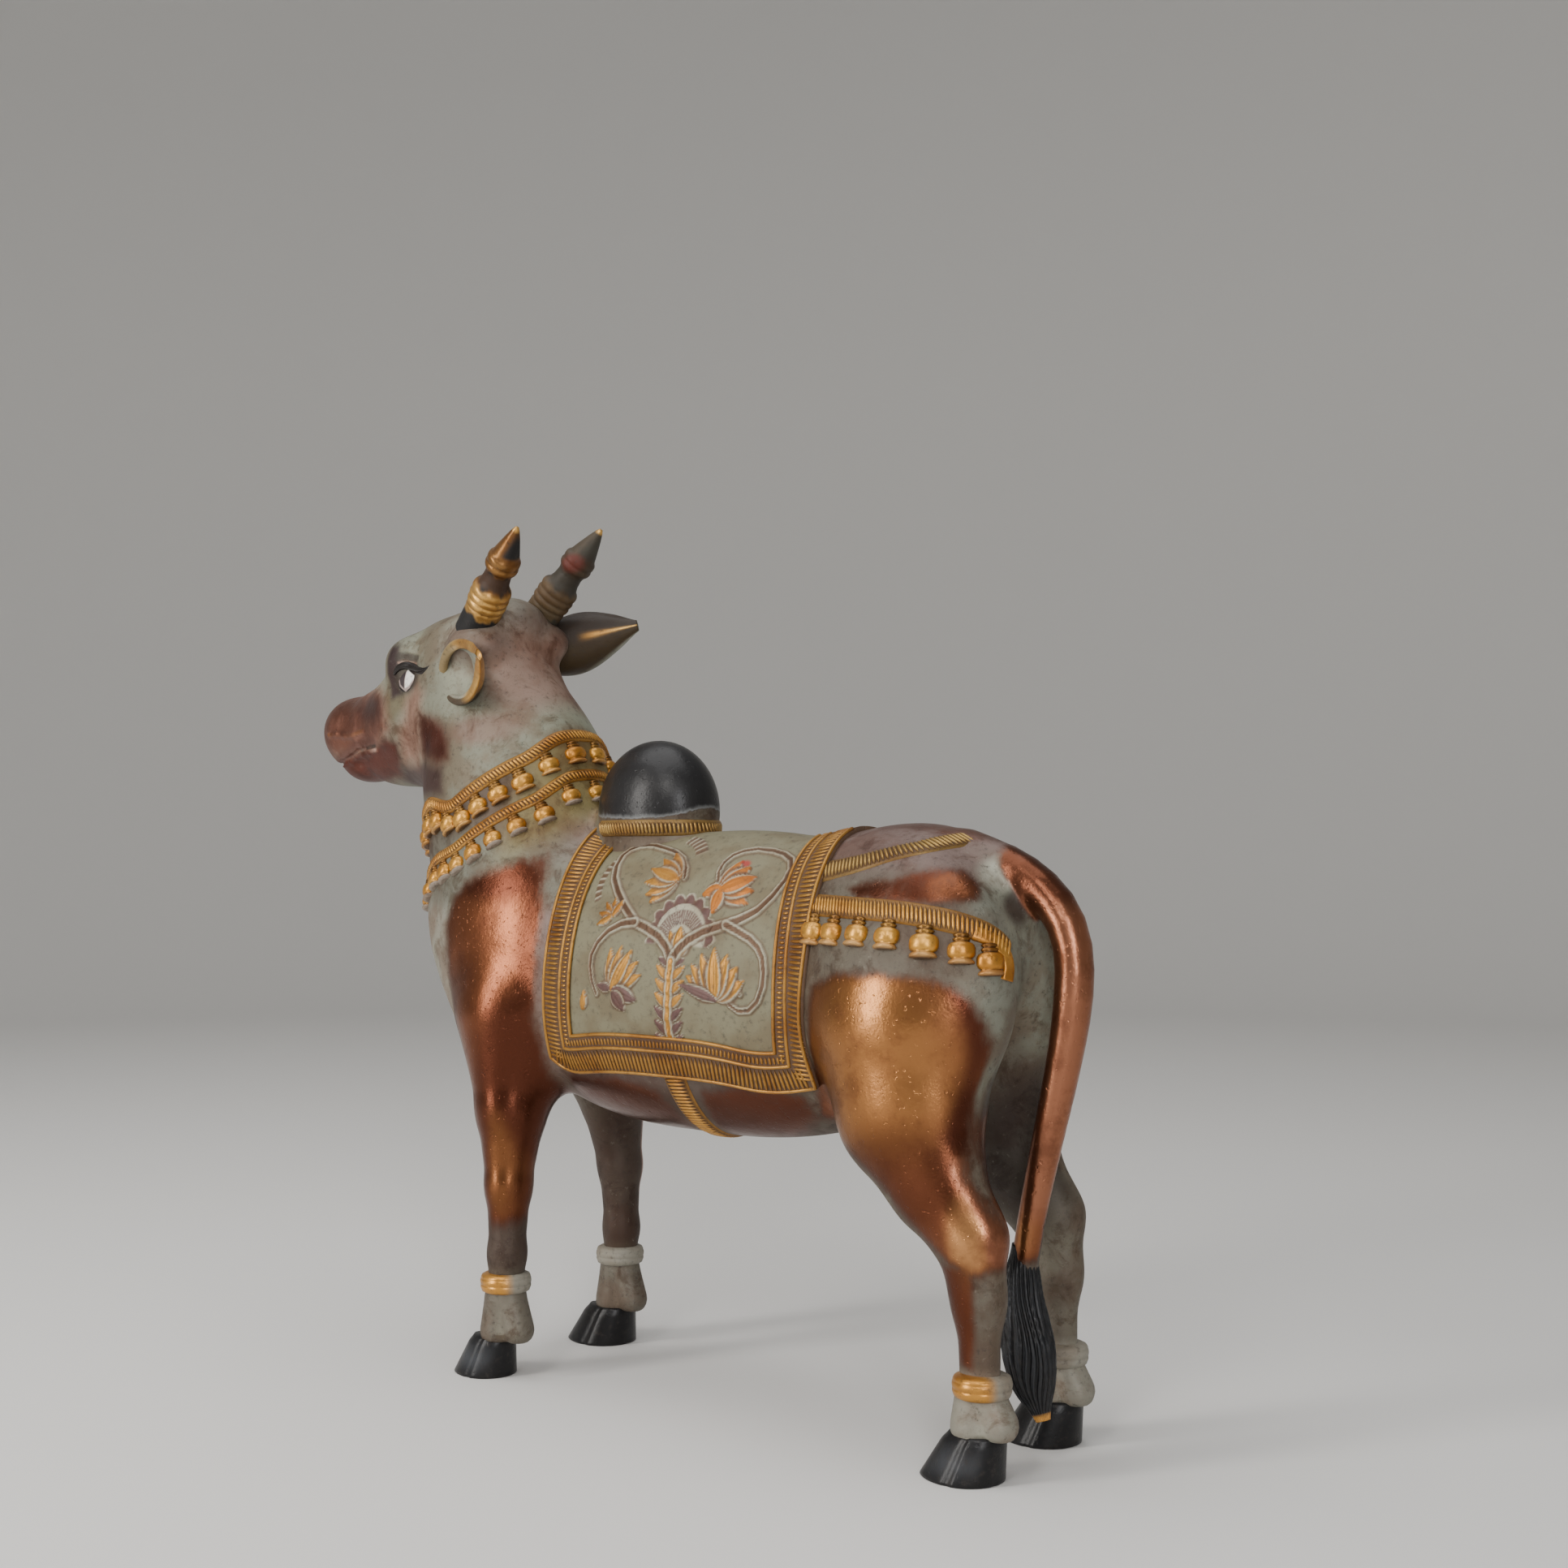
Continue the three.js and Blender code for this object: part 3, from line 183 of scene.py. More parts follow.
def trunk(p):
    """Trunk and neck without hump, head, legs or tail."""
    w = both_sides(p)
    d = meld(mass(p, *BARREL), mass(p, *FORE_BARREL), 20)
    d = meld(d, mass(p, *CHEST), 30)
    d = meld(d, mass(p, *RUMP), 25)
    d = meld(d, mass(w, *HAUNCH), 14)
    d = meld(d, mass(w, *SHOULDER), 14)
    return meld(d, limb(p, NECK_ROUTE, NECK_RADII, 20, NECK_FLATNESS), 30)


def footed(p, leg, pastern, dewclaw):
    """A leg with its pastern and a dewclaw behind it, and a crease between the two."""
    return meld(leg, meld(limb(p, *pastern, 4), limb(p, *dewclaw, 4), 1.5), 3)


def legs(p):
    """Fore and hind legs; those on the right stand a little ahead and further in."""
    w = both_sides(p)
    far = (p[..., 1:2] > 0).astype(float)
    fore = w + far * FAR_FORELEG_SHIFT
    hind = w + far * FAR_HINDLEG_SHIFT
    front = footed(fore, limb(fore, FORELEG_ROUTE, FORELEG_RADII, 6), FORE_PASTERN, FORE_DEWCLAW)
    hind_leg = limb(hind, HINDLEG_ROUTE, HINDLEG_RADII, 10, HINDLEG_FLATNESS)
    back = footed(hind, hind_leg, HIND_PASTERN, HIND_DEWCLAW)
    return front, back


def draped(p):
    """What the cloth and straps lie on: the trunk with the roots of the legs."""
    front, back = legs(p)
    return meld(meld(trunk(p), front, 14), back, 14)


def body(p):
    d = meld(draped(p), mass(p, *HUMP), 8)
    d = meld(d, limb(p, tail_route, tail_radii, TAIL_MELD), 8)
    return carve(d, p[..., 2] - SOLE_OF_PASTERNS, 2)


def outward(field, p, reach=0.5):
    """Unit direction out of a field at points."""
    slope = np.stack([field(p + d) - field(p - d) for d in np.eye(3) * reach], -1)
    return slope / np.maximum(np.linalg.norm(slope, axis=-1, keepdims=True), 1e-9)


def settle(field, p, rounds=3):
    """Moves points near the skin of a field onto it."""
    for _ in range(rounds):
        p = p - outward(field, p) * np.clip(field(p), -3, 3)[..., None]
    return p


def skin(field, low, high, step, block=8):
    """Meshes the skin of a field, looking only at blocks near it: one vertex a cell, one quad an edge."""
    low = np.array(low, float)
    blocks = np.ceil((np.array(high, float) - low) / (step * block)).astype(int)
    corner = np.stack(np.meshgrid(*[np.arange(n) for n in blocks], indexing="ij"), -1)
    middle = low + (corner * block + block / 2) * step
    far = field(middle.reshape(-1, 3)).reshape(blocks)
    near = np.argwhere(np.abs(far) < block * step)
    value = np.repeat(np.repeat(np.repeat(np.where(far < 0, -1e3, 1e3), block, 0), block, 1), block, 2)
    value = np.pad(value, (0, 1), mode="edge")
    inner = np.stack(np.meshgrid(*[np.arange(block + 1)] * 3, indexing="ij"), -1).reshape(-1, 3)
    for first in range(0, len(near), 300):
        cell = near[first:first + 300, None, :] * block + inner
        value[tuple(np.moveaxis(cell, -1, 0))] = field(low + cell * step)
    inside = value < 0
    size = np.array(value.shape) - 1
    corners = [np.array([i, j, k]) for i in (0, 1) for j in (0, 1) for k in (0, 1)]
    count = sum(inside[i:i + size[0], j:j + size[1], k:k + size[2]].astype(np.int8) for i, j, k in corners)
    cells = np.argwhere((count > 0) & (count < 8))
    number = np.full(size, -1)
    number[tuple(cells.T)] = np.arange(len(cells))
    total = np.zeros((len(cells), 3))
    crossings = np.zeros(len(cells))
    for start in corners:
        for axis in np.flatnonzero(start == 0):
            end = start + np.eye(3, dtype=int)[axis]
            v0 = value[tuple((cells + start).T)]
            v1 = value[tuple((cells + end).T)]
            crossed = (v0 < 0) != (v1 < 0)
            share = v0 / np.where(crossed, v0 - v1, 1)
            total[crossed] += start + share[crossed, None] * (end - start)
            crossings[crossed] += 1
    points = low + (cells + total / crossings[:, None]) * step
    quads = []
    for axis in range(3):
        along, u, w = np.roll(np.eye(3, dtype=int), -axis, 0)
        here = inside[1:size[0], 1:size[1], 1:size[2]]
        there = inside[tuple(slice(1 + d, n + d) for d, n in zip(along, size))]
        edge = np.argwhere(here != there) + 1
        leaving = here[tuple((edge - 1).T)]
        ring = [number[tuple((edge - s * u - t * w).T)] for s, t in ((0, 0), (1, 0), (1, 1), (0, 1))]
        quad = np.stack(ring, 1)
        quad[~leaving] = quad[~leaving][:, ::-1]
        quads.append(quad)
    return settle(field, points), np.concatenate(quads)


def soft(value, low, high):
    """Smooth step from 0 at low to 1 at high."""
    t = np.clip((value - low) / (high - low), 0, 1)
    return t * t * (3 - 2 * t)


def hollowness(field, points, normals, reach=9.0):
    """How far the casting closes in over each point, from 0 in the open to 1 deep in a fold."""
    closed = sum(1 - field(points + normals * d) / d for d in (reach / 3, reach, reach * 2))
    return np.clip(closed / 1.5, 0, 1)


def cast_piece(name, points, faces, material, marks=None):
    """A piece of the casting in the shared frame, with named marks on its points for the finish."""
    mesh = bpy.data.meshes.new(name)
    mesh.from_pydata(((points - BOX_MIDDLE) / 1000).tolist(), [], [tuple(face) for face in faces])
    mesh.polygons.foreach_set("use_smooth", np.ones(len(mesh.polygons), bool))
    for mark, values in (marks or {}).items():
        wide = np.ndim(values) == 2
        layer = mesh.attributes.new(mark, "FLOAT_COLOR" if wide else "FLOAT", "POINT")
        layer.data.foreach_set("color" if wide else "value", np.asarray(values, np.float32).ravel())
    mesh.materials.append(material)
    mesh.update()
    piece = bpy.data.objects.new(name, mesh)
    bpy.context.scene.collection.objects.link(piece)
    return belongs(piece)


def belongs(piece):
    """Every piece is part of the one casting."""
    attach(piece, "root")
    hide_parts("nandi_bull")
    return piece


def blob(p, middle, half, edge):
    """1 inside a rounded region and 0 well outside it; edge is the share of its size that it fades over."""
    q = np.sqrt((((p - np.array(middle, float)) / np.array(half, float)) ** 2).sum(-1))
    return soft(-q, -1 - edge / 2, -1 + edge / 2)


def along(p, route, radius, edge):
    """1 close to a route and 0 further off than radius plus edge."""
    return soft(-limb(p, route, [radius] * len(route), 1), -edge, 0)


def patch(p, outline, edge):
    """1 inside an outline drawn from the side by x and z, fading to 0 over its edge."""
    x, z = p[:, 0], p[:, 2]
    nearest = np.full(len(p), 1e9)
    inside = np.zeros(len(p), bool)
    for (ax, az), (bx, bz) in zip(outline, outline[1:] + outline[:1]):
        t = np.clip(((x - ax) * (bx - ax) + (z - az) * (bz - az)) / ((bx - ax) ** 2 + (bz - az) ** 2), 0, 1)
        nearest = np.minimum(nearest, np.hypot(x - ax - t * (bx - ax), z - az - t * (bz - az)))
        crossed = (az > z) != (bz > z)
        inside ^= crossed & (x < ax + (z - az) * (bx - ax) / (bz - az if bz != az else 1.0))
    return soft(np.where(inside, nearest, -nearest), -edge / 2, edge / 2)


def tinted(ground, *layers):
    """Colours of points: a ground, covered in turn by each layer's colour where its share is high."""
    colors = np.tile(np.array(ground, float), (len(layers[0][0]), 1))
    for share, color in layers:
        colors += share[:, None] * (np.array(color) - colors)
    return colors


def body_marks(points, normals):
    """Where the body was rubbed bare, how warm its metal is, its patina's tone, painted light and shade, and
    its paint.
    """
    w = both_sides(points)
    x, z = w[:, 0], w[:, 2]
    near = points[:, 1] < 0
    outer = normals[:, 1] * np.where(near, -1, 1)
    low = soft(-z, -172, -150)
    leg_face = np.where(near, soft(outer, -0.85, -0.6), soft(outer, 0.2, 0.6))
    fore_face = (1 - low) * soft(outer, 0.1, 0.45) + low * leg_face
    hind_face = (1 - low) * soft(outer, 0.0, 0.3) + low * leg_face
    shoulder = patch(w, SHOULDER_PATCH, 20) * fore_face
    haunch = patch(w, HAUNCH_PATCH, 15) * hind_face
    shin = patch(w, SHIN_PATCH, 9) * leg_face * 0.85
    leaf = patch(w, LEAF_PATCH, 8) * soft(outer, 0.1, 0.4)
    tail = along(points, TAIL_ROUTE, 9.5, 5) * soft(z, 104, 118)
    tail = tail * np.maximum(soft(x, 142, 156), soft(-z, -235, -225))
    belly = np.maximum(patch(w, FRONT_BELLY_PATCH, 14), patch(w, REAR_BELLY_PATCH, 14)) * 0.85
    loin = blob(w, (118, 0, 290), (52, 22, 14), 0.8) * 0.52
    rubbed = np.max([shoulder, haunch, shin, leaf * 0.72, tail, belly, loin], 0)
    collar = collar_level(points)
    crown = blob(w, (HUMP[0][0], 0, 322), (42, 40, 45), 0.12) * soft(z, 288, 298)
    return {
        "rubbed": rubbed,
        "metal_tone": tinted(
            COPPER, (blob(w, (-120, 45, 165), (24, 60, 42), 0.9), COPPER_DARK),
            (blob(w, (-134, 50, 266), (36, 60, 17), 0.8), COPPER_DARK),
            # painted shade: a darker strip of copper down the back edge of the shoulder
            (blob(w, (-108, 50, 225), (11, 60, 50), 0.9) * 0.8, COPPER_DARK),
            (blob(w, (-128, 60, 100), (30, 60, 50), 0.6) * 0.75, COPPER_DARK),
            # painted highlight: a narrow golden strip down the front of the foreleg
            (blob(w, (-128, 60, 112), (7, 40, 26), 0.9) * 0.3, COPPER_GOLDEN),
            (blob(w, (114, 60, 180), (40, 90, 50), 0.8) * soft(z, 120, 150) * 0.9, COPPER_GOLDEN),
            (along(w, HAUNCH_RIM, 3, 9), COPPER_DARK),
            (blob(w, (130, 60, 130), (34, 60, 26), 0.8) * 0.7, COPPER_DARK),
            # painted highlight: a bright copper spot on the hind shank
            (blob(w, (160, 50, 106), (8, 40, 17), 1.3), COPPER_PAINTED_HIGHLIGHT),
            # painted highlight: a paler rose strip along the ridge behind the hind shank
            (along(w, PAINTED_HIGHLIGHT_BEHIND_SHANK, 3.5, 3), COPPER_ROSE),
            (np.maximum(leaf, belly), COPPER_DARK), (loin * 1.6, COPPER_ROSE),
            (blob(w, (146, 30, 260), (12, 40, 8), 0.8) * leaf, COPPER), (shin, COPPER_DARK),
            (tail, COPPER_ROSE), (tail * soft(z, 246, 258) * 0.8, COPPER_DARK)),
        "patina_tone": tinted(
            # painted light: upward-facing skin high on the back is tinted a paler mauve, as lit from above
            PATINA_GREY, (soft(normals[:, 2], 0.35, 0.85) * soft(z, 250, 272), PATINA_MAUVE),
            (soft(-x, 158, 176) * soft(-z, -258, -240) * soft(z, 150, 180), PATINA_PALE),
            (soft(x, -112, -100) * soft(-x, -60, 90) * soft(z, 255, 240), PATINA_MAUVE),
            (blob(w, (-150, 50, 264), (50, 60, 20), 0.9) * 0.8, PATINA_GREEN),
            (soft(x, 148, 158) * soft(z, 150, 190) * 0.7, PATINA_GREEN),
            # painted highlight and painted shade by the tail root: a pale spot, and a dark spot for a pit
            # that is not cut
            (blob(w, (154, 10, 266), (10, 14, 8), 0.8), PATINA_PALE),
            (blob(w, (162, 12, 252), (5, 9, 10), 0.8), PATINA_DARK),
            # painted shade: the inner face of the hind leg darkened where it turns towards the belly
            (blob(w, (140, 22, 140), (30, 22, 40), 0.8) * soft(outer, 0.1, -0.3), PATINA_DARK),
            (soft(collar, 290, 312) * soft(x, -152, -126), PATINA_OLIVE),
            (low * soft(w[:, 1], 20, 30) * soft(z, 52, 62) * soft(-x, -60, -40), PATINA_BROWN),
            (soft(-z, -52, -44) * (0.25 + 0.6 * soft(x, 0, 20)), PATINA_PALE)),
        "black": crown,
        "hollow": hollowness(body, points, normals),
    }


# The skin of the casting: bare metal, rubbed copper, grey-green patina and black paint, over a fine
# sand grain. Its shared effects are node groups, so that every piece wears in the same way.
# dark grime, also used as painted shade in the cut of the mouth
DIRT_AND_SHADE = (0.035, 0.028, 0.024, 1)
BLACK_PAINT = (0.013, 0.0125, 0.013, 1)
PAINT_WORN = (0.16, 0.165, 0.165, 1)
PATINA_LIFT = (1.7, 1.8, 1.75, 1)
PATINA_STAIN = (0.78, 0.60, 0.52, 1)
PATINA_WORN = (0.50, 0.39, 0.33, 1)
BRUSH_STRETCH = (1.7, 1.7, 0.35)
GRAIN_STRENGTH = 0.35
DULL_GLOSS = 0.3


def wire(tree, kind, values=None, **settings):
    """Adds a node, sets it, and fills its inputs with numbers or with other nodes' outputs."""
    node = tree.nodes.new(kind)
    for key, value in settings.items():
        setattr(node, key, value)
    for socket, value in (values or {}).items():
        if isinstance(value, bpy.types.NodeSocket):
            tree.links.new(value, node.inputs[socket])
        else:
            node.inputs[socket].default_value = value
    return node


def sum_of(tree, a, b, operation="ADD", third=None):
    values = {0: a, 1: b}
    if third is not None:
        values[2] = third
    return wire(tree, "ShaderNodeMath", values, operation=operation).outputs[0]


def stepped(tree, value, low, high):
    return wire(tree, "ShaderNodeMapRange", {0: value, 1: low, 2: high},
                interpolation_type="SMOOTHSTEP").outputs[0]


def blended(tree, share, a, b, mode="MIX"):
    return wire(tree, "ShaderNodeMix", {0: share, 6: a, 7: b}, data_type="RGBA", blend_type=mode).outputs[2]


def new_group(name, inputs, outputs):
    """A shader node group with named inputs (default values) and outputs (socket kinds)."""
    group = bpy.data.node_groups.new(name, "ShaderNodeTree")
    for label, value in inputs.items():
        kind = "NodeSocketColor" if isinstance(value, tuple) else "NodeSocketFloat"
        group.interface.new_socket(label, in_out="INPUT", socket_type=kind).default_value = value
    for label, kind in outputs.items():
        group.interface.new_socket(label, in_out="OUTPUT", socket_type=kind)
    return group, wire(group, "NodeGroupInput"), wire(group, "NodeGroupOutput")


def build_sand_grain():
    """Fine grain and scattered pits of a sand and wax casting, as a height."""
    group, given, out = new_group("sand_grain", {"Pits": 0.5}, {"Height": "NodeSocketFloat"})
    place = object_place(group)
    fine = noise(group, place, 900.0, 4.0)
    broad = noise(group, place, 130.0, 3.0)
    spots = noise(group, place, 420.0, 1.0)
    pits = sum_of(group, stepped(group, spots, 0.66, 0.72), given.outputs["Pits"], "MULTIPLY")
    height = sum_of(group, sum_of(group, fine, 0.35, "MULTIPLY"), broad)
    group.links.new(sum_of(group, height, pits, "SUBTRACT"), out.inputs["Height"])
    return group


def build_ragged_edge():
    """Turns a soft mark into a worn patch with a brushed, ragged edge."""
    group, given, out = new_group("ragged_edge", {"Mark": 0.0, "Ragged": 0.4, "Scale": 140.0, "Sharp": 0.1},
                                  {"Mask": "NodeSocketFloat", "Depth": "NodeSocketFloat"})
    place = object_place(group)
    brushed = wire(group, "ShaderNodeMapping", {"Vector": place, "Scale": BRUSH_STRETCH}).outputs[0]
    blotch = noise(group, place, 42.0, 5.0)
    hairs = noise(group, brushed, given.outputs["Scale"], 6.0, 0.7)
    unevenness = sum_of(group, sum_of(group, blotch, hairs), -1.0)
    depth = sum_of(group, unevenness, given.outputs["Ragged"], "MULTIPLY_ADD", given.outputs["Mark"])
    low = sum_of(group, 0.5, given.outputs["Sharp"], "SUBTRACT")
    high = sum_of(group, 0.5, given.outputs["Sharp"])
    group.links.new(stepped(group, depth, low, high), out.inputs["Mask"])
    group.links.new(depth, out.inputs["Depth"])
    return group


def build_patina():
    """A tone of patina, paler in the hollows, smeared with brown grime and with dark and pale speckles."""
    group, given, out = new_group("patina", {"Tone": PATINA_GREY, "Hollow": 0.0},
                                  {"Color": "NodeSocketColor"})
    place = object_place(group)
    cloud = noise(group, place, 30.0, 7.0, 0.6)
    speck = noise(group, place, 300.0, 7.0, 0.75)
    smear = noise(group, place, 62.0, 9.0, 0.72, 0.6)
    sheltered = sum_of(group, given.outputs["Hollow"], 0.7, "MULTIPLY")
    pale = sum_of(group, stepped(group, sum_of(group, cloud, sheltered), 0.48, 1.1), 0.7, "MULTIPLY")
    tone = blended(group, pale, given.outputs["Tone"], PATINA_LIFT, "MULTIPLY")
    stain = sum_of(group, stepped(group, cloud, 0.56, 0.40), 0.75, "MULTIPLY")
    tone = blended(group, stain, tone, PATINA_STAIN, "MULTIPLY")
    worn = sum_of(group, stepped(group, smear, 0.49, 0.66), 0.85, "MULTIPLY")
    tone = blended(group, worn, tone, PATINA_WORN, "MULTIPLY")
    light = sum_of(group, stepped(group, speck, 0.41, 0.27), 0.4, "MULTIPLY")
    tone = blended(group, light, tone, PATINA_PALE)
    dark = sum_of(group, stepped(group, speck, 0.53, 0.72), 0.7, "MULTIPLY")
    group.links.new(blended(group, dark, tone, DIRT_AND_SHADE), out.inputs["Color"])
    return group


def use_group(tree, group, values):
    return wire(tree, "ShaderNodeGroup", values, node_tree=group).outputs


def noise(tree, place, scale, detail, roughness=0.5, distortion=0.0):
    """A cloudy mask, for blotches, smears, specks and grain."""
    return wire(tree, "ShaderNodeTexNoise", {"Vector": place, "Scale": scale, "Detail": detail,
                                             "Roughness": roughness, "Distortion": distortion}).outputs["Fac"]


def object_place(tree):
    return wire(tree, "ShaderNodeTexCoord").outputs["Object"]


def mark(tree, name, output="Fac"):
    return wire(tree, "ShaderNodeAttribute", attribute_name=name).outputs[output]


def new_finish(name):
    material = bpy.data.materials.new(name)
    material.use_nodes = True
    tree = material.node_tree
    return material, tree, tree.nodes["Principled BSDF"]


def grained(tree, shader, pits, depth):
    """Bump of the sand grain under any finish."""
    grain = use_group(tree, sand_grain, {"Pits": pits})["Height"]
    bump = wire(tree, "ShaderNodeBump", {"Height": grain, "Strength": GRAIN_STRENGTH, "Distance": depth})
    tree.links.new(bump.outputs[0], shader.inputs["Normal"])


def skin_finish():
    """Body and head: patina, bare metal that grows from a dark rim to a bright middle, and black paint."""
    material, tree, shader = new_finish("rubbed_brass_skin")
    bare = use_group(tree, ragged_edge, {"Mark": mark(tree, "rubbed"), "Ragged": 0.55, "Sharp": 0.34})
    black = use_group(tree, ragged_edge, {"Mark": mark(tree, "black"), "Ragged": 0.5, "Scale": 220.0,
                                          "Sharp": 0.08})
    tone = mark(tree, "metal_tone", "Color")
    rim = stepped(tree, bare["Depth"], 0.35, 1.0)
    metal_color = blended(tree, rim, COPPER_DARK, tone)
    tarnish = noise(tree, object_place(tree), 60.0, 7.0, 0.66)
    tarnish = sum_of(tree, stepped(tree, tarnish, 0.47, 0.70), 0.5, "MULTIPLY")
    metal_color = blended(tree, tarnish, metal_color, COPPER_DARK)
    ground = use_group(tree, patina, {"Tone": mark(tree, "patina_tone", "Color"),
                                      "Hollow": mark(tree, "hollow")})["Color"]
    color = blended(tree, bare["Mask"], ground, metal_color)
    brushed = blended(tree, sum_of(tree, black["Mask"], stepped(tree, black["Depth"], 0.9, 0.45), "MULTIPLY"),
                      BLACK_PAINT, PAINT_WORN)
    color = blended(tree, black["Mask"], color, brushed)
    tree.links.new(color, shader.inputs["Base Color"])
    unpainted = sum_of(tree, 1.0, black["Mask"], "SUBTRACT")
    shine = sum_of(tree, bare["Mask"], unpainted, "MULTIPLY")
    metal = sum_of(tree, sum_of(tree, shine, 0.68, "MULTIPLY_ADD", 0.26), unpainted, "MULTIPLY")
    tree.links.new(metal, shader.inputs["Metallic"])
    rough = sum_of(tree, shine, -0.24, "MULTIPLY_ADD", 0.52)
    rough = sum_of(tree, black["Mask"], -0.20, "MULTIPLY_ADD", rough)
    tree.links.new(sum_of(tree, tarnish, 0.16, "MULTIPLY_ADD", rough), shader.inputs["Roughness"])
    shader.inputs["Specular IOR Level"].default_value = DULL_GLOSS
    grained(tree, shader, 0.6, 0.0007)
    return material


sand_grain = build_sand_grain()
ragged_edge = build_ragged_edge()
patina = build_patina()
brass_skin = skin_finish()


# The head and throat: the same casting, with a cut mouth, drilled nostrils, a heavy brow and painted
# marks. It is rolled a little to its right, and meets the neck under the upper collar.
HEAD_PIVOT = np.array([-200.0, 0.0, 365.0])
HEAD_ROLL = math.radians(6)
CRANIUM = (-205, 0, 368), (46, 36, 40)
CHEEK = (-236, 0, 350), (46, 33, 38)
POLL = (-182, 0, 401), (22, 25, 17)
HORN_SEAT = (-180, 22.5, 391), (19, 15.5, 12.5)
CROWN = (-208, 0, 398), (26, 24, 12.5)
FOREHEAD = (-238, 0, 389), (32, 22, 16)
BROW = (-243, 18.5, 386), (15, 12, 13)
NOSE_ROUTE = (-250, 0, 356), (-312, 0, 345)
NOSE_RADII = 30, 21
NOSE_FLATNESS = 0.92
MUZZLE = (-316, 0, 349), (20, 20, 19)
CHIN = (-304, 0, 329), (18, 16, 11)
JAW = (-270, 0, 333), (34, 21, 18)
NOSTRIL = (-332, 9.5, 352.5), (4.5, 3.6, 2.6)
MOUTH = ((-327, 0, 331.5), (-322, 9, 331.5), (-313, 15, 332), (-303, 19, 334), (-295, 20.5, 337),
         (-287, 21.5, 338.3), (-279, 23.5, 339.3), (-271, 26, 340))
COLLAR_TILT = math.radians(31)
COLLAR_UP = np.array([-math.sin(COLLAR_TILT), 0, math.cos(COLLAR_TILT)])
COLLAR_BACK = np.array([math.cos(COLLAR_TILT), 0, math.sin(COLLAR_TILT)])
COLLAR_NAPE_LIFT = 6
COLLAR_THROAT_LIFT = 6, 15, 330, 345
HEAD_SEAM = 349
MUZZLE_PATCH = ((-345, 332), (-345, 374), (-300, 374), (-262, 370), (-254, 362), (-250, 350), (-262, 341),
                (-290, 336))
NOSE_PATCH = (-292, 362), (-278, 368), (-256, 367), (-255, 357), (-272, 354), (-288, 356)
CHIN_PATCH = ((-326, 334), (-326, 316), (-296, 316), (-279, 318), (-256, 322), (-246, 331), (-243, 341),
              (-254, 344), (-270, 340), (-285, 338), (-300, 335))
STRIPE_PATCH = ((-222, 373), (-213, 368), (-217, 357), (-218, 345), (-217, 334), (-230, 329), (-243, 330),
                (-240, 346), (-233, 356), (-230, 366))
CHEEK_PATCH = ((-217, 357), (-219, 345), (-217, 334), (-194, 329), (-184, 331), (-186, 340), (-194, 350),
               (-206, 355))
JOWL_PATCH = (-250, 328), (-216, 331), (-188, 327), (-186, 312), (-240, 308), (-262, 318)
OLIVE_PATCH = (-252, 372), (-244, 369), (-227, 368), (-233, 360), (-246, 352), (-254, 360)
BROW_PATCH = ((-248, 397), (-240, 396), (-237.5, 387), (-240, 380), (-240.5, 373), (-235, 368.5),
              (-246, 366), (-251, 380))
BROW_LINE = (-239, 30, 389.5), (-233, 30, 389.5), (-226, 29, 388)
BROW_RIDGE = (-238, 30, 386), (-232, 30, 386), (-225, 29, 384.5)
UPPER_LIP = (-318, 19, 348), (-310, 21, 348), (-303, 21, 347), (-295, 22, 347), (-284, 23, 349)
UPPER_LIP_RADII = 0.4, 1.2, 1.3, 1.2, 0.4
MUZZLE_ROSE = (0.27, 0.125, 0.09, 1)
NOSE_MAUVE = (0.13, 0.062, 0.052, 1)
STRIPE_ROSE = (0.27, 0.15, 0.11, 1)
NAPE_ROSE = (0.20, 0.125, 0.10, 1)
BROW_MAUVE = (0.045, 0.03, 0.03, 1)
JAW_MAUVE = (0.062, 0.040, 0.036, 1)
LIP_RED = (0.085, 0.022, 0.014, 1)
LIP_PALE = (0.38, 0.24, 0.19, 1)
LIP_ORANGE = (0.50, 0.22, 0.09, 1)
HEAD_GREEN = (0.185, 0.185, 0.14, 1)
HEAD_OLIVE = (0.14, 0.12, 0.075, 1)
POLL_GREY = (0.20, 0.17, 0.14, 1)
MOUTH_RADII = 1.0, 1.2, 1.4, 1.4, 1.3, 1.1, 0.8, 0.4
LIP_RADII = 0.5, 1.4, 1.7, 1.6, 1.2, 0.4
LIP_DROP = 0, 0, 2.6
RIM_OF_LIP = 0, 0, 2.4
HEAD_LOW = -344, -52, 296
HEAD_HIGH = -128, 52, 424
HEAD_STEP = 1.15


def rolled(p, turn=HEAD_ROLL):
    """Rolls points of the straight head with the head."""
    q = p - HEAD_PIVOT
    c, s = math.cos(turn), math.sin(turn)
    y, z = q[..., 1], q[..., 2]
    return np.stack([q[..., 0], y * c - z * s, y * s + z * c], -1) + HEAD_PIVOT


def head(p):
    h = rolled(p, -HEAD_ROLL)
    w = both_sides(h)
    d = meld(mass(h, *CRANIUM), mass(h, *CHEEK), 12)
    d = meld(d, mass(h, *POLL), 12)
    d = meld(d, mass(w, *HORN_SEAT), 8)
    d = meld(d, mass(h, *CROWN), 10)
    d = meld(d, mass(h, *FOREHEAD), 12)
    d = meld(d, mass(w, *BROW), 8)
    d = meld(d, limb(h, NOSE_ROUTE, NOSE_RADII, 14, NOSE_FLATNESS), 14)
    d = meld(d, mass(h, *MUZZLE), 8)
    d = meld(d, mass(h, *JAW), 8)
    return meld(d, mass(h, *CHIN), 5)


def straight_head(h):
    return head(rolled(h))


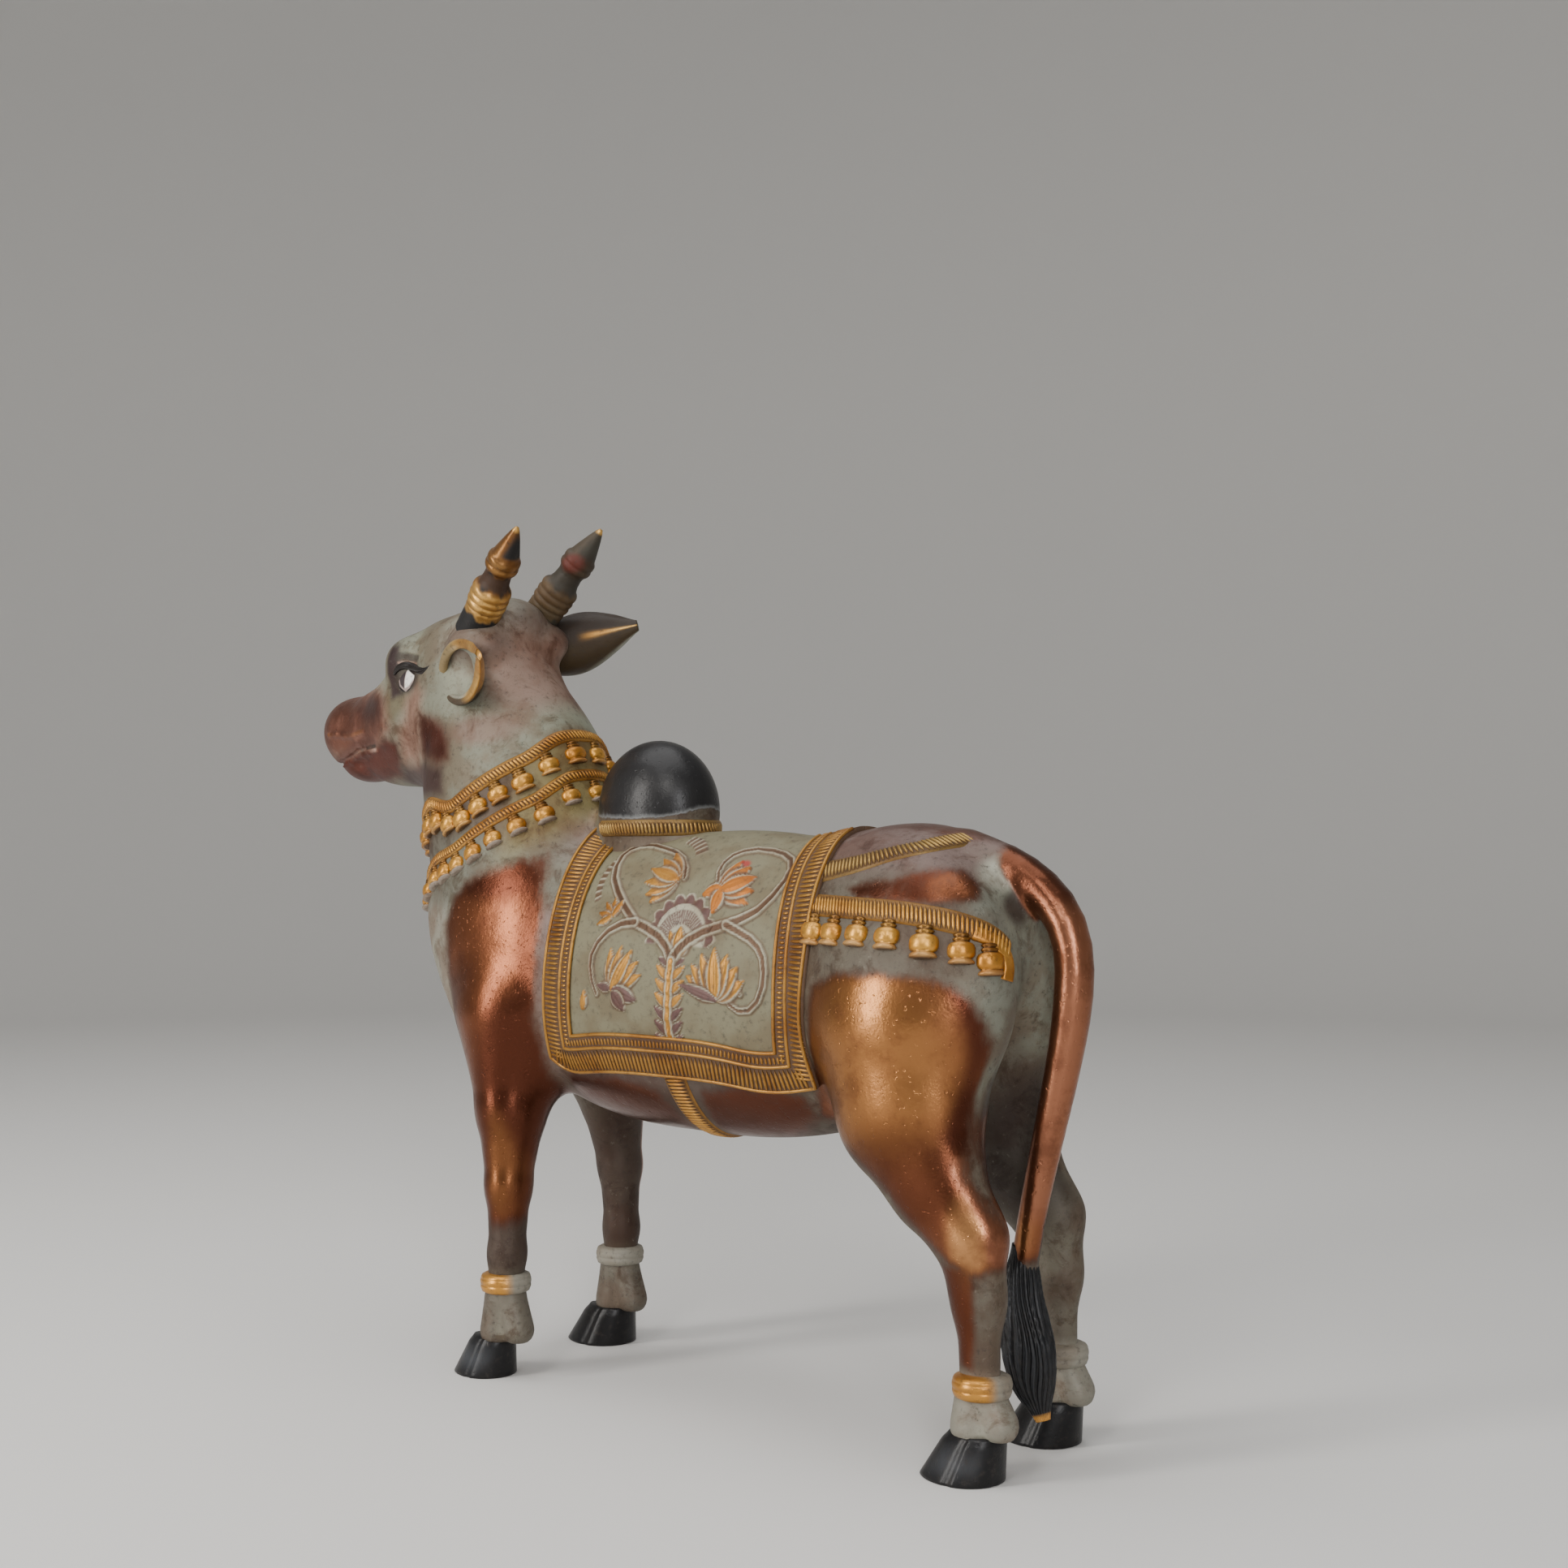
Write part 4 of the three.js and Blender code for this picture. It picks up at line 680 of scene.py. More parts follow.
def cut_head(p):
    """The head with its mouth and nostrils, the mouth between a raised upper lip and a lower one."""
    w = both_sides(rolled(p, -HEAD_ROLL))
    d = meld(head(p), limb(w, (mouth_line - LIP_DROP)[2:], LIP_RADII, 2), 3)
    d = meld(d, limb(w, upper_lip, UPPER_LIP_RADII, 1), 3)
    d = carve(d, limb(w, mouth_line, MOUTH_RADII, 2), 1.2)
    return carve(d, mass(w, *NOSTRIL), 1.5)


mouth_line = settle(straight_head, np.array(MOUTH, float), 6)
upper_lip = settle(straight_head, np.array(UPPER_LIP, float), 6)


def collar_turn(p):
    """Angle round the neck from the nape, in radians."""
    low, high = np.array(NECK_ROUTE[0], float), np.array(NECK_ROUTE[2], float)
    share = (p @ COLLAR_UP - low @ COLLAR_UP) / ((high - low) @ COLLAR_UP)
    axis = low + share[..., None] * (high - low)
    return np.arctan2(p[..., 1], (p - axis) @ COLLAR_BACK)


def collar_rise(level, turn):
    """How far a collar of a level rises at the nape and under the throat, at a turn from the nape."""
    degrees = np.degrees(np.abs(np.arctan2(np.sin(turn), np.cos(turn))))
    low, high, start, end = COLLAR_THROAT_LIFT
    throat = low + (high - low) * soft(np.float64(level), start, end)
    return throat * soft(degrees, 85, 125) + COLLAR_NAPE_LIFT * soft(-degrees, -34, -10)


def collar_level(p):
    """Height of points in the slant of the collars, for those by the upper one."""
    return p @ COLLAR_UP - collar_rise(HEAD_SEAM, collar_turn(p))


def flesh(p):
    return meld(body(p), head(p), 12)


def throat_up(p):
    return np.maximum(meld(body(p), cut_head(p), 12), HEAD_SEAM - 1 - collar_level(p))


def neck_down(p):
    return np.maximum(flesh(p), collar_level(p) - HEAD_SEAM - 1)


def head_marks(points, normals):
    """Wear and paint on the head: rose muzzle and stripe, red chin and cheek, mauve jowl and dark brow."""
    w = both_sides(rolled(points, -HEAD_ROLL))
    muzzle = patch(w, MUZZLE_PATCH, 20)
    chin = patch(w, CHIN_PATCH, 7)
    stripe = patch(w, STRIPE_PATCH, 15)
    cheek = patch(w, CHEEK_PATCH, 13)
    jaw = blob(w, (-164, 36, 346), (22, 30, 8), 0.9)
    nape = blob(w, (-150, 10, 378), (24, 40, 26), 0.9)
    front = patch(w, BROW_PATCH, 5)
    jowl = patch(w, JOWL_PATCH, 11)
    socket = blob(w, (-232, 32, 377), (13, 12, 8.5), 0.6)
    # painted shade: a mauve band just above the cut of the mouth
    corner = along(w, mouth_line + (0, 0, 3.2), 1.6, 3) * soft(w[:, 0], -322, -308)
    # painted shade: the cut of the mouth darkened towards its corner
    crease = along(w, mouth_line, 0.8, 0.9) * soft(w[:, 0], -312, -300)
    poll = blob(w, (-170, 20, 398), (34, 50, 20), 0.9)
    nose = patch(w, NOSE_PATCH, 8)
    olive = patch(w, OLIVE_PATCH, 8)
    brow = along(w, BROW_LINE, 2.0, 1.6)
    brow_ridge = along(w, BROW_RIDGE, 0.7, 0.8)
    # painted highlight: a pale line along the rim of the lower lip
    lower_rim = along(w, mouth_line - RIM_OF_LIP, 0.7, 0.9) * soft(w[:, 0], -306, -298)
    # painted highlight: an orange line along the ridge of the upper lip
    upper_lip_highlight = along(w, upper_lip, 0.8, 1.0)
    return {
        "rubbed": np.max([muzzle * 0.6, chin * 0.35, stripe * 0.36, cheek * 0.55], 0) * (1 - crease),
        "metal_tone": tinted(MUZZLE_ROSE, (stripe + jaw, STRIPE_ROSE), (nose, NOSE_MAUVE), (chin, LIP_RED),
                             (cheek, LIP_RED)),
        "patina_tone": tinted(
            HEAD_GREEN, (olive, HEAD_OLIVE), (poll * 0.9, POLL_GREY), (muzzle, MUZZLE_ROSE),
            (nose * 0.8, NOSE_MAUVE), (jowl, JAW_MAUVE), (stripe * 0.85, STRIPE_ROSE),
            (nape * 0.9, NAPE_ROSE), (jaw * 0.7, NAPE_ROSE), (cheek, LIP_RED), (chin, LIP_RED),
            (corner * 0.8, NOSE_MAUVE), (front, BROW_MAUVE), (brow * 0.85, PATINA_DARK),
            (socket * 0.9, PATINA_DARK), (brow_ridge * 0.7, LIP_PALE), (upper_lip_highlight, LIP_ORANGE),
            (lower_rim, LIP_PALE), (crease * 0.85, DIRT_AND_SHADE)),
        "hollow": hollowness(flesh, points, normals),
    }


def normals_of(field, points):
    return outward(field, points, 0.8)


for name, field, low, high, step, marks_of in (
        ("bull_body", neck_down, BODY_LOW, BODY_HIGH, BODY_STEP, body_marks),
        ("bull_head", throat_up, HEAD_LOW, HEAD_HIGH, HEAD_STEP, head_marks)):
    points, faces = skin(field, low, high, step)
    cast_piece(name, points, faces, brass_skin, marks_of(points, normals_of(field, points)))


# The eyes: low domes cast with the head under a raised black upper lid that runs out in a wing. They
# are painted with a dark liner drawn to a point below, an iris looking forward and a white behind it.
EYE_MIDDLE = -232, 31, 376
EYE_HALF = 10.5, 2.3, 7.2
EYE_SINK = 0.7
EYE_LINER = (-243, 379.5), (-239, 371.5), (-232, 368), (-226.5, 370.5), (-220.5, 377.5), (-233.5, 384)
EYE_SHAPE = (-241.8, 379), (-238.2, 373), (-232, 369.6), (-227.6, 371.6), (-222.4, 377.6), (-233.5, 382.5)
IRIS_SHAPE = (-240.2, 379), (-237.4, 374), (-233.0, 371.3), (-232.8, 382.4)
WHITE_SHAPE = (-232.4, 382.2), (-223.2, 377.6), (-228.6, 372.6), (-232.2, 371.6)
UPPER_LID = ((-243, 30, 380), (-239, 30, 383.2), (-234, 30, 384.4), (-228, 30, 383.4), (-221, 31, 381.4),
             (-214, 33, 381), (-209, 33, 382.6))
UPPER_LID_RADII = 0.8, 1.9, 2.3, 2.2, 1.6, 1.1, 0.4
WING = (-222, 32, 379.6), (-215, 33, 379.2), (-210, 33, 381.4)
WING_RADII = 0.6, 1.0, 0.4
LID_STATIONS = 36
LID_SIDES = 14
EYE_ROWS = 72
EYE_TURNS = 108
EYE_WHITE = (0.80, 0.78, 0.72, 1)
# pale rose for a painted highlight on the lower lid
EYE_PAINTED_HIGHLIGHT = (0.34, 0.27, 0.25, 1)
EYE_IRIS = (0.045, 0.035, 0.038, 1)
EYE_DARK = (0.012, 0.009, 0.008, 1)
GILT_BROWN = (0.62, 0.46, 0.36, 1)


def marked_finish(name, roughness=0.56, pits=0.5):
    """Ornament and paint: colour and gilding are marked on the points, with dirt worked over them."""
    material, tree, shader = new_finish(name)
    paint = mark(tree, "paint", "Color")
    gild = mark(tree, "gild")
    place = object_place(tree)
    cloud = noise(tree, place, 45.0, 4.0)
    speck = noise(tree, place, 330.0, 5.0, 0.7)
    grime = sum_of(tree, gild, 0.25, "MULTIPLY_ADD", 0.5)
    browned = sum_of(tree, stepped(tree, cloud, 0.42, 0.66), grime, "MULTIPLY")
    tone = blended(tree, browned, paint, GILT_BROWN, "MULTIPLY")
    dust = sum_of(tree, stepped(tree, speck, 0.50, 0.74), 0.6, "MULTIPLY")
    tree.links.new(blended(tree, dust, tone, DIRT_AND_SHADE), shader.inputs["Base Color"])
    tree.links.new(sum_of(tree, gild, 0.72, "MULTIPLY"), shader.inputs["Metallic"])
    tree.links.new(sum_of(tree, gild, -0.22, "MULTIPLY_ADD", roughness), shader.inputs["Roughness"])
    shader.inputs["Specular IOR Level"].default_value = DULL_GLOSS
    grained(tree, shader, pits, 0.0005)
    return material


def ball(middle, half, rows, turns):
    """A closed rounded ball: points and faces, with one point at each pole."""
    lean = np.linspace(0, math.pi, rows)[1:-1]
    turn = np.arange(turns) / turns * 2 * math.pi
    grid = np.stack([np.outer(np.sin(lean), np.cos(turn)), np.outer(np.sin(lean), np.sin(turn)),
                     np.outer(np.cos(lean), np.ones(turns))], -1).reshape(-1, 3)
    points = np.vstack([grid, [[0, 0, 1], [0, 0, -1]]])
    faces = []
    for r in range(rows - 3):
        for t in range(turns):
            u = (t + 1) % turns
            faces.append((r * turns + t, (r + 1) * turns + t, (r + 1) * turns + u, r * turns + u))
    last = (rows - 3) * turns
    for t in range(turns):
        u = (t + 1) % turns
        faces.append((len(grid), t, u))
        faces.append((len(grid) + 1, last + u, last + t))
    return points * np.array(half, float) + np.array(middle, float), faces


def turned_out(points, faces):
    """Gives every face of a closed mesh its outward order."""
    corners = [points[[face[i] for face in faces]] for i in range(3)]
    volume = (corners[0] * np.cross(corners[1], corners[2])).sum()
    return faces if volume > 0 else [tuple(reversed(face)) for face in faces]


def tube(middles, radii, sides, across=None):
    """A closed tube through middles: radii has one value, or one for each side, at each middle."""
    middles = np.array(middles, float)
    step = np.gradient(middles, axis=0)
    step /= np.linalg.norm(step, axis=1, keepdims=True)
    u = np.cross(step, np.array(across if across is not None else (0.3, 0.95, 0.1), float))
    u /= np.linalg.norm(u, axis=1, keepdims=True)
    w = np.cross(step, u)
    turn = np.arange(sides) / sides * 2 * math.pi
    radii = np.array(radii, float).reshape(len(middles), -1, 1)
    ring = u[:, None] * np.cos(turn)[None, :, None] + w[:, None] * np.sin(turn)[None, :, None]
    points = (middles[:, None] + ring * radii).reshape(-1, 3)
    points = np.vstack([points, middles[:1], middles[-1:]])
    faces = grid_faces(len(middles), sides, True)
    first, last, top = len(middles) * sides, len(middles) * sides + 1, (len(middles) - 1) * sides
    for t in range(sides):
        n = (t + 1) % sides
        faces.append((first, n, t))
        faces.append((last, top + t, top + n))
    return points, turned_out(points, faces)


def grid_faces(rows, columns, loop=False, ring=False):
    """Quads of a grid of points, closed round its columns if it is a loop and round its rows if a ring."""
    faces = []
    for r in range(rows if ring else rows - 1):
        m = (r + 1) % rows
        for c in range(columns if loop else columns - 1):
            n = (c + 1) % columns
            faces.append((r * columns + c, r * columns + n, m * columns + n, m * columns + c))
    return faces


relief_finish = marked_finish("gilded_relief")
eye_paint = marked_finish("painted_eye", 0.3, 0.2)
middle = settle(straight_head, np.array([EYE_MIDDLE], float), 8)[0]
out = outward(straight_head, middle)
run = np.cross(out, (0, 0, 1.0))
run /= np.linalg.norm(run)
eye_frame = np.stack([run, out, np.cross(run, out)])
dome, dome_faces = ball((0, 0, 0), EYE_HALF, EYE_ROWS, EYE_TURNS)
dome = middle + (dome - (0, EYE_SINK, 0)) @ eye_frame
# painted highlight: a pale band left along the lower lid, between the dark liner and the iris and white
dome_colors = tinted(
    BROW_MAUVE, (patch(dome, EYE_LINER, 1.0), EYE_DARK), (patch(dome, EYE_SHAPE, 0.5), EYE_PAINTED_HIGHLIGHT),
    (patch(dome, IRIS_SHAPE, 0.6), EYE_IRIS), (patch(dome, WHITE_SHAPE, 0.5), EYE_WHITE))
for side, hand in ((-1, "left"), (1, "right")):
    points = dome * (1, side, 1)
    cast_piece(f"eye_{hand}", rolled(points), turned_out(points, dome_faces), eye_paint,
               {"paint": dome_colors})
    for name, route, radii in (("upper_lid", UPPER_LID, UPPER_LID_RADII), ("eye_wing", WING, WING_RADII)):
        route = settle(straight_head, eased(route, LID_STATIONS), 6)
        radii = np.interp(np.linspace(0, 1, LID_STATIONS), np.linspace(0, 1, len(radii)), radii)
        points, faces = tube(route * (1, side, 1), radii, LID_SIDES)
        cast_piece(f"{name}_{hand}", rolled(points), faces, eye_paint,
                   {"paint": np.tile(EYE_DARK, (len(points), 1))})


# The horns: cast with the head as round tapered spikes with ridged rings. The left one is gilded over
# its rings, above a black root, and has a brown waist; the right one is left dark.
HORN_FROM = np.array([-177.6, 22.3, 405.4])
HORN_TO = np.array([-132.5, 31.5, 451])
HORN_OUTLINE = ((-0.12, 11.2), (0.11, 10.3), (0.155, 10.5), (0.17, 9.7), (0.185, 10.8), (0.22, 11.1),
                (0.235, 10.0), (0.25, 10.9), (0.285, 11.2), (0.30, 10.1), (0.315, 10.8), (0.345, 11.0),
                (0.37, 10.4), (0.39, 8.8), (0.44, 7.7), (0.51, 7.2), (0.55, 7.7), (0.58, 9.1),
                (0.615, 9.4), (0.63, 8.6), (0.645, 9.2), (0.685, 9.1), (0.71, 7.7), (0.80, 5.9),
                (0.90, 3.8), (0.97, 2.1), (1, 1.0))
HORN_ROWS = 130
HORN_TURNS = 40
GILT = (0.62, 0.36, 0.10, 1)
GILT_DARK = (0.20, 0.095, 0.03, 1)
HORN_GREY = (0.042, 0.038, 0.028, 1)
HORN_BROWN = (0.05, 0.026, 0.014, 1)
CHEEK_RED = (0.12, 0.03, 0.02, 1)
share = np.linspace(HORN_OUTLINE[0][0], 1, HORN_ROWS)
outline = np.interp(share, *zip(*HORN_OUTLINE))
outline = np.convolve(np.pad(outline, 1, mode="edge"), (0.25, 0.5, 0.25), "valid")
for side, hand in ((-1, "left"), (1, "right")):
    start, end = HORN_FROM * (1, side, 1), HORN_TO * (1, side, 1)
    points, faces = tube(start + share[:, None] * (end - start), outline, HORN_TURNS)
    at = np.append(np.repeat(share, HORN_TURNS), (0, 1))
    bulge = np.append(np.repeat(outline, HORN_TURNS), (8, 1))
    off = points - start - at[:, None] * (end - start)
    swing = np.arctan2(off[:, 1], off[:, 2])
    ragged = 0.018 * np.sin(5 * swing + 1) + 0.012 * np.sin(11 * swing)
    ring = soft(at + ragged, 0.09, 0.13) * soft(-at + ragged, -0.41, -0.37) + soft(at + ragged, 0.53, 0.57)
    behind = soft(off[:, 0], 0.5, 3) * soft(at, 0.72, 0.76)
    worn = 1 if side < 0 else 0.1
    gilded = np.clip(ring * (1 - behind), 0, 1) * worn
    waist = soft(at, 0.37, 0.42) * soft(-at, -0.56, -0.52) * (side < 0)
    red = blob(points, (start + 0.62 * (end - start)) + (4, -8, 0), (7, 7, 5), 0.8) * (side > 0)
    tip = soft(at, 0.955, 0.985)
    colors = tinted(BLACK_PAINT if side < 0 else HORN_GREY, (waist, HORN_BROWN), (gilded, GILT_DARK),
                    (gilded * soft(bulge, 8.5, 11.5), GILT), (red, CHEEK_RED), (tip, GILT))
    cast_piece(f"horn_{hand}", rolled(points), faces, relief_finish,
               {"paint": colors, "gild": np.maximum(gilded, tip)})


# The ears: leaves cast with the head, curled round a hollow that opens forwards and outwards, with a
# thick rounded rim. The left one is gilded on its outer half. The right one has a gilded line along its
# back, a painted highlight.
EAR_ROOT = np.array([-189.0, 30.5, 380])
EAR_TIP = np.array([-139.0, 60.3, 391.5])
EAR_OPEN = np.array([-0.5, 0.86, -0.12])
EAR_HEIGHT = 13.3
EAR_CUP = 7.8
EAR_CURL = math.radians(150), math.radians(60)
EAR_WALL = 3.2
EAR_RIM = 1.3
EAR_CANT = np.array([2.5, 0, 6.5])
EAR_ROWS = 60
EAR_COLUMNS = 61
EAR_INSIDE = (0.30, 0.32, 0.27, 1)
EAR_SHADE = (0.07, 0.055, 0.038, 1)
EAR_RIM_OLIVE = (0.26, 0.19, 0.09, 1)
EAR_BACK = (0.045, 0.034, 0.026, 1)
EAR_BACK_OLIVE = (0.05, 0.032, 0.014, 1)
for side, hand in ((-1, "left"), (1, "right")):
    root = EAR_ROOT * (1, side, 1) + EAR_CANT * side
    tip = EAR_TIP * (1, side, 1) + EAR_CANT * side
    run = (tip - root) / np.linalg.norm(tip - root)
    opening = EAR_OPEN * (1, side, 1)
    opening = opening - run * (opening @ run)
    opening /= np.linalg.norm(opening)
    up = np.cross(run, opening)
    across = np.sin(np.linspace(-0.5, 0.5, EAR_COLUMNS) * math.pi)
    t, s = np.meshgrid(np.linspace(0, 1, EAR_ROWS), across, indexing="ij")
    leaf = np.sin(math.pi * (0.2 + 0.78 * t) ** 0.85)
    curl = (EAR_CURL[0] + (EAR_CURL[1] - EAR_CURL[0]) * t ** 0.8) * s
    rim = soft(np.abs(s), 0.72, 0.93)
    half = (EAR_WALL / 2 + EAR_RIM * rim * soft(-t, -1, -0.8)) * np.sqrt(1 - 0.98 * np.abs(s) ** 24)
    faces_of_ear = []
    for depth in (EAR_WALL / 2 - half, EAR_WALL / 2 + half):
        high = ((EAR_HEIGHT * leaf + depth) * np.sin(curl))[..., None] * up
        deep = ((EAR_CUP * leaf + depth) * np.cos(curl))[..., None] * opening
        faces_of_ear.append(root + t[..., None] * (tip - root) + high - deep)
    points = np.concatenate([faces_of_ear[0], faces_of_ear[1][:, ::-1]], 1).reshape(-1, 3)
    faces = grid_faces(EAR_ROWS, 2 * EAR_COLUMNS, True)
    faces += [tuple(range(2 * EAR_COLUMNS)), tuple(range(len(points) - 2 * EAR_COLUMNS, len(points)))[::-1]]
    inner = np.concatenate([np.ones_like(t), np.zeros_like(t)], 1).ravel()
    edge = np.concatenate([rim, rim[:, ::-1]], 1).ravel()
    reach = np.concatenate([t, t], 1).ravel()
    height = np.concatenate([s, s[:, ::-1]], 1).ravel() * side
    near = 1.0 if side < 0 else 0.0
    outer = soft(reach, 0.3, 0.55)
    gilded = np.maximum(edge, (1 - inner) * soft(reach, 0.45, 0.6)) * outer * near
    olive = edge * (1 - outer) * near * np.maximum(soft(height, -0.2, 0.2), 0.15)
    shade = inner * soft(height, 0.35, 0.8) * (1 - edge) * near
    below = (1 - inner) * soft(-height, -0.15, 0.2) * (1 - near)
    # painted highlight: a gilded line along the middle of the right ear's back
    line = (1 - inner) * np.exp(-((height - 0.02) / 0.07) ** 2) * soft(reach, 0.4, 0.6) * (1 - near)
    lower_rim = edge * (height < 0) * (1 - near)
    colors = tinted(EAR_BACK, (inner, EAR_INSIDE), (shade, EAR_SHADE), (olive, EAR_RIM_OLIVE),
                    (below, EAR_BACK_OLIVE), (lower_rim * 0.7, EAR_INSIDE), (line, GILT), (gilded, GILT))
    cast_piece(f"ear_{hand}", rolled(points), turned_out(points, faces), relief_finish,
               {"paint": colors, "gild": np.max([gilded, olive * 0.4, line], 0)})


# The saddle cloth: cast in low relief over the back, with a scrolling lotus plant on each side. The
# ground is grey green, the plant gold brown between paler outlines.
CLOTH_FRONT = -103
CLOTH_BACK = 68
CLOTH_DROP = 146
CLOTH_LIFT = 1.6
CLOTH_SINK = 3
CLOTH_BOW = 5
CLOTH_STEP = 0.62
GIRTH_AXIS_Z = 215
GIRTH_TURNS = 121
GIRTH_STEP = 3
GIRTH_REACH = 110
BORDER_WIDE = 13
BORDER_NARROW = 6
BORDER_LIFT = 0.9
STEM = (-13, 130), (-15, 116), (-14.6, 100), (-14.5, 88)
LEFT_SCROLL = ((-14.5, 88), (-18, 82), (-24.5, 76.5), (-34, 72.5), (-41.7, 70), (-51, 62), (-59, 53.6),
               (-65, 46), (-68, 38), (-68.6, 30), (-66, 25.5), (-60, 23), (-51, 23.6), (-43, 26.2),
               (-33, 29.5), (-25, 34), (-19.5, 40.5), (-17.8, 46))
LOW_LEFT_SCROLL = ((-41.7, 70), (-50, 71), (-58, 74.5), (-64, 80), (-67, 86), (-67, 92), (-65, 99),
                   (-61.5, 105.5))
RIGHT_SCROLL = ((-14, 87), (-10, 82), (-5, 77.5), (3, 73), (11.5, 69.6), (22, 65), (32.6, 58.6),
                (40, 51.5), (45, 44), (46, 37), (43, 31.2), (36, 26.8), (28.4, 25), (19, 25.4),
                (11.6, 28), (6.5, 31.5), (3.4, 36.5), (2.6, 42), (4.3, 47))
LOW_RIGHT_SCROLL = ((16, 68), (24, 70), (31, 72.2), (36.6, 76), (40, 81), (41.4, 88), (41, 94.5),
                    (38.6, 101), (34, 105.4), (28, 106.5), (23, 104.5), (20.6, 100.6), (22, 97),
                    (26.4, 96.2), (28.6, 98.8))
CLOTH_GROUND = (0.175, 0.16, 0.10, 1)
OUTLINE_PALE = (0.37, 0.345, 0.255, 1)
PLANT_BROWN = (0.105, 0.058, 0.032, 1)
PETAL_GOLD = (0.42, 0.20, 0.035, 1)
PETAL_ORANGE = (0.42, 0.14, 0.018, 1)
PETAL_RED = (0.40, 0.02, 0.02, 1)
PURPLE_BROWN = (0.115, 0.062, 0.055, 1)


def cast_to(field, start, ray, reach):
    """Points where rays from inside a field come out of it."""
    low = np.zeros(np.broadcast(start, ray).shape[:-1])
    high = np.full_like(low, reach)
    for _ in range(22):
        middle = (low + high) / 2
        inside = field(start + ray * middle[..., None]) < 0
        low, high = np.where(inside, middle, low), np.where(inside, high, middle)
    return start + ray * low[..., None]


def girth_table():
    """Skin of the trunk at even steps of x and of the way down from the spine, on the left side."""
    xs = np.arange(CLOTH_FRONT - 3, CLOTH_BACK + CLOTH_BOW + 6, GIRTH_STEP)
    turn = np.linspace(0, math.pi, GIRTH_TURNS)
    ray = np.stack([np.zeros_like(turn), -np.sin(turn), np.cos(turn)], -1)
    axis = np.stack([xs, np.zeros_like(xs), np.full_like(xs, GIRTH_AXIS_Z)], -1)[:, None]
    place = cast_to(trunk, axis, ray, GIRTH_REACH)
    ways = np.cumsum(np.linalg.norm(np.diff(place, axis=1), axis=2), 1)
    ways = np.concatenate([np.zeros((len(xs), 1)), ways], 1)
    even = np.arange(0, CLOTH_DROP + 8, 1.0)
    rows = [[np.interp(even, ways[i], place[i, :, k]) for k in range(3)] for i in range(len(xs))]
    return xs, even, np.moveaxis(np.array(rows), 1, 2)


girth_x, girth_way, girth_place = girth_table()


def on_trunk(x, way, side=-1):
    """Skin points of the trunk for arrays of x and way down, on the side given by its sign."""
    i = np.clip((x - girth_x[0]) / GIRTH_STEP, 0, len(girth_x) - 1.001)
    j = np.clip(np.abs(way), 0, len(girth_way) - 1.001)
    i0, j0 = i.astype(int), j.astype(int)
    fi, fj = (i - i0)[..., None], (j - j0)[..., None]
    near = girth_place[i0, j0] * (1 - fj) + girth_place[i0, j0 + 1] * fj
    far = girth_place[i0 + 1, j0] * (1 - fj) + girth_place[i0 + 1, j0 + 1] * fj
    return (near * (1 - fi) + far * fi) * np.array([1, -side, 1])


def bow(way):
    return CLOTH_BOW * np.sin(math.pi * np.clip(np.abs(way) / CLOTH_DROP, 0, 1))


def route_measure(x, way, route):
    """Distance of cloth points to a route, with the share of the route's length where they meet it."""
    route = np.array(route, float)
    best = np.full(x.shape, 1e9)
    where = np.zeros_like(x)
    lengths = np.linalg.norm(np.diff(route, axis=0), axis=1)
    gone = np.concatenate([[0], np.cumsum(lengths)])
    for (ax, aw), (bx, bw), length, before in zip(route, route[1:], lengths, gone):
        t = np.clip(((x - ax) * (bx - ax) + (way - aw) * (bw - aw)) / length ** 2, 0, 1)
        d = np.hypot(x - ax - t * (bx - ax), way - aw - t * (bw - aw))
        closer = d < best
        best = np.where(closer, d, best)
        where = np.where(closer, (before + t * length) / gone[-1], where)
    return best, where


def petal_measure(x, way, base, aim, length, width):
    """A pointed petal: how far inside it points lie, 1 on its middle line and 0 on its edge, and along it."""
    a = math.radians(aim)
    run = (x - base[0]) * math.cos(a) - (way - base[1]) * math.sin(a)
    off = (x - base[0]) * math.sin(a) + (way - base[1]) * math.cos(a)
    t = run / length
    half = width / 2 * np.sin(math.pi * np.clip(t, 0, 1) ** 0.8) ** 0.8
    inside = np.where((t > 0) & (t < 1), 1 - np.abs(off) / np.maximum(half, 1e-3), -1)
    return np.clip(inside, -1, 1), t, off


